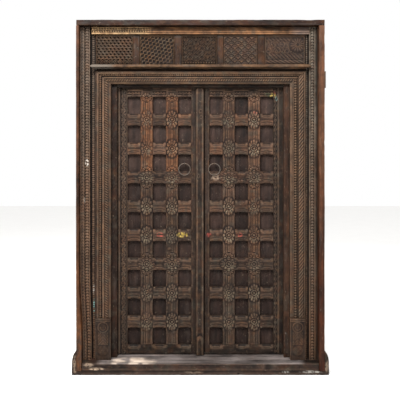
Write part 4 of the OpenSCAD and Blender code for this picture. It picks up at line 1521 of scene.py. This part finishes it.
def dress_iron_nodes():
    """The other iron pieces are shown as their CAD nodes, in the same iron."""
    names = ["side_strap", "bottom_sockets", "top_sockets", "frame_nails"]
    for word in SIDES.values():
        names += [f"{word}_pivot_pins", f"{word}_ring_staple", f"{word}_leaf_nails"]
    for name in names:
        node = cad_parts[name]
        node.data.materials.clear()
        node.data.materials.append(IRON)


# ---- Stage, light and camera ----

def make_stage():
    mesh = bpy.data.meshes.new("floor")
    size = 14.0
    mesh.from_pydata([(-size, -size, 0), (size, -size, 0), (size, size, 0), (-size, size, 0)], [],
                     [(0, 1, 2, 3)])
    g = Graph("floor_paint")
    tone = g.noise(g.place(), (3, 3, 3), 3.0, 0.5)
    colour = g.mixed(tone, rgba(srgb(240, 239, 237)), rgba(srgb(245, 244, 242)))
    g.feed(g.shader.inputs["Base Color"], colour)
    g.shader.inputs["Roughness"].default_value = 0.9
    mesh.materials.append(g.material)
    floor = bpy.data.objects.new("floor", mesh)
    bpy.context.scene.collection.objects.link(floor)


def area_light(name, place, aim, size, power):
    data = bpy.data.lights.new(name, "AREA")
    data.shape = "SQUARE"
    data.size = size
    data.energy = power
    light = bpy.data.objects.new(name, data)
    bpy.context.scene.collection.objects.link(light)
    light.location = place
    direction = [a - b for a, b in zip(aim, place)]
    light.rotation_euler = Vector(direction).to_track_quat("-Z", "Y").to_euler()


def make_light():
    world = bpy.data.worlds.new("studio")
    bpy.context.scene.world = world
    world.use_nodes = True
    world.node_tree.nodes["Background"].inputs[0].default_value = (1, 1, 1, 1)
    world.node_tree.nodes["Background"].inputs[1].default_value = 1.0
    area_light("key", (-1.0, -3.6, 4.4), (0, 0, 1.3), 1.8, 460)
    area_light("fill", (2.8, -3.6, 3.0), (0, 0, 1.4), 2.5, 40)
    area_light("rear", (1.5, 4.0, 4.0), (0, 0, 1.2), 3.0, 90)
    bpy.context.scene.view_settings.view_transform = "Standard"


def make_camera():
    """Level camera at eye height, with the rise that the photograph's framing has."""
    eye = (0.0, -4.115, 1.466)
    data = bpy.data.cameras.new("camera")
    data.sensor_width = 36
    data.lens = 53.4
    data.shift_x = -0.001
    data.shift_y = -0.105
    data.clip_end = 100
    camera = bpy.data.objects.new("camera", data)
    camera.location = eye
    camera.rotation_euler = (math.radians(90), 0, 0)
    bpy.context.scene.collection.objects.link(camera)
    bpy.context.scene.camera = camera


def main():
    make_camera()
    make_light()
    make_stage()
    make_posts()
    make_head_beam()
    make_boards()
    make_frieze()
    make_ledge()
    make_casings()
    make_header()
    make_base_blocks()
    make_jambs()
    make_threshold()
    for side, word in SIDES.items():
        make_lattice(side, word)
        make_end_rails(side, word)
        make_stiles(side, word)
        make_backs(side, word)
        forged_ring(word)
    make_astragal()
    dress_iron_nodes()


main()
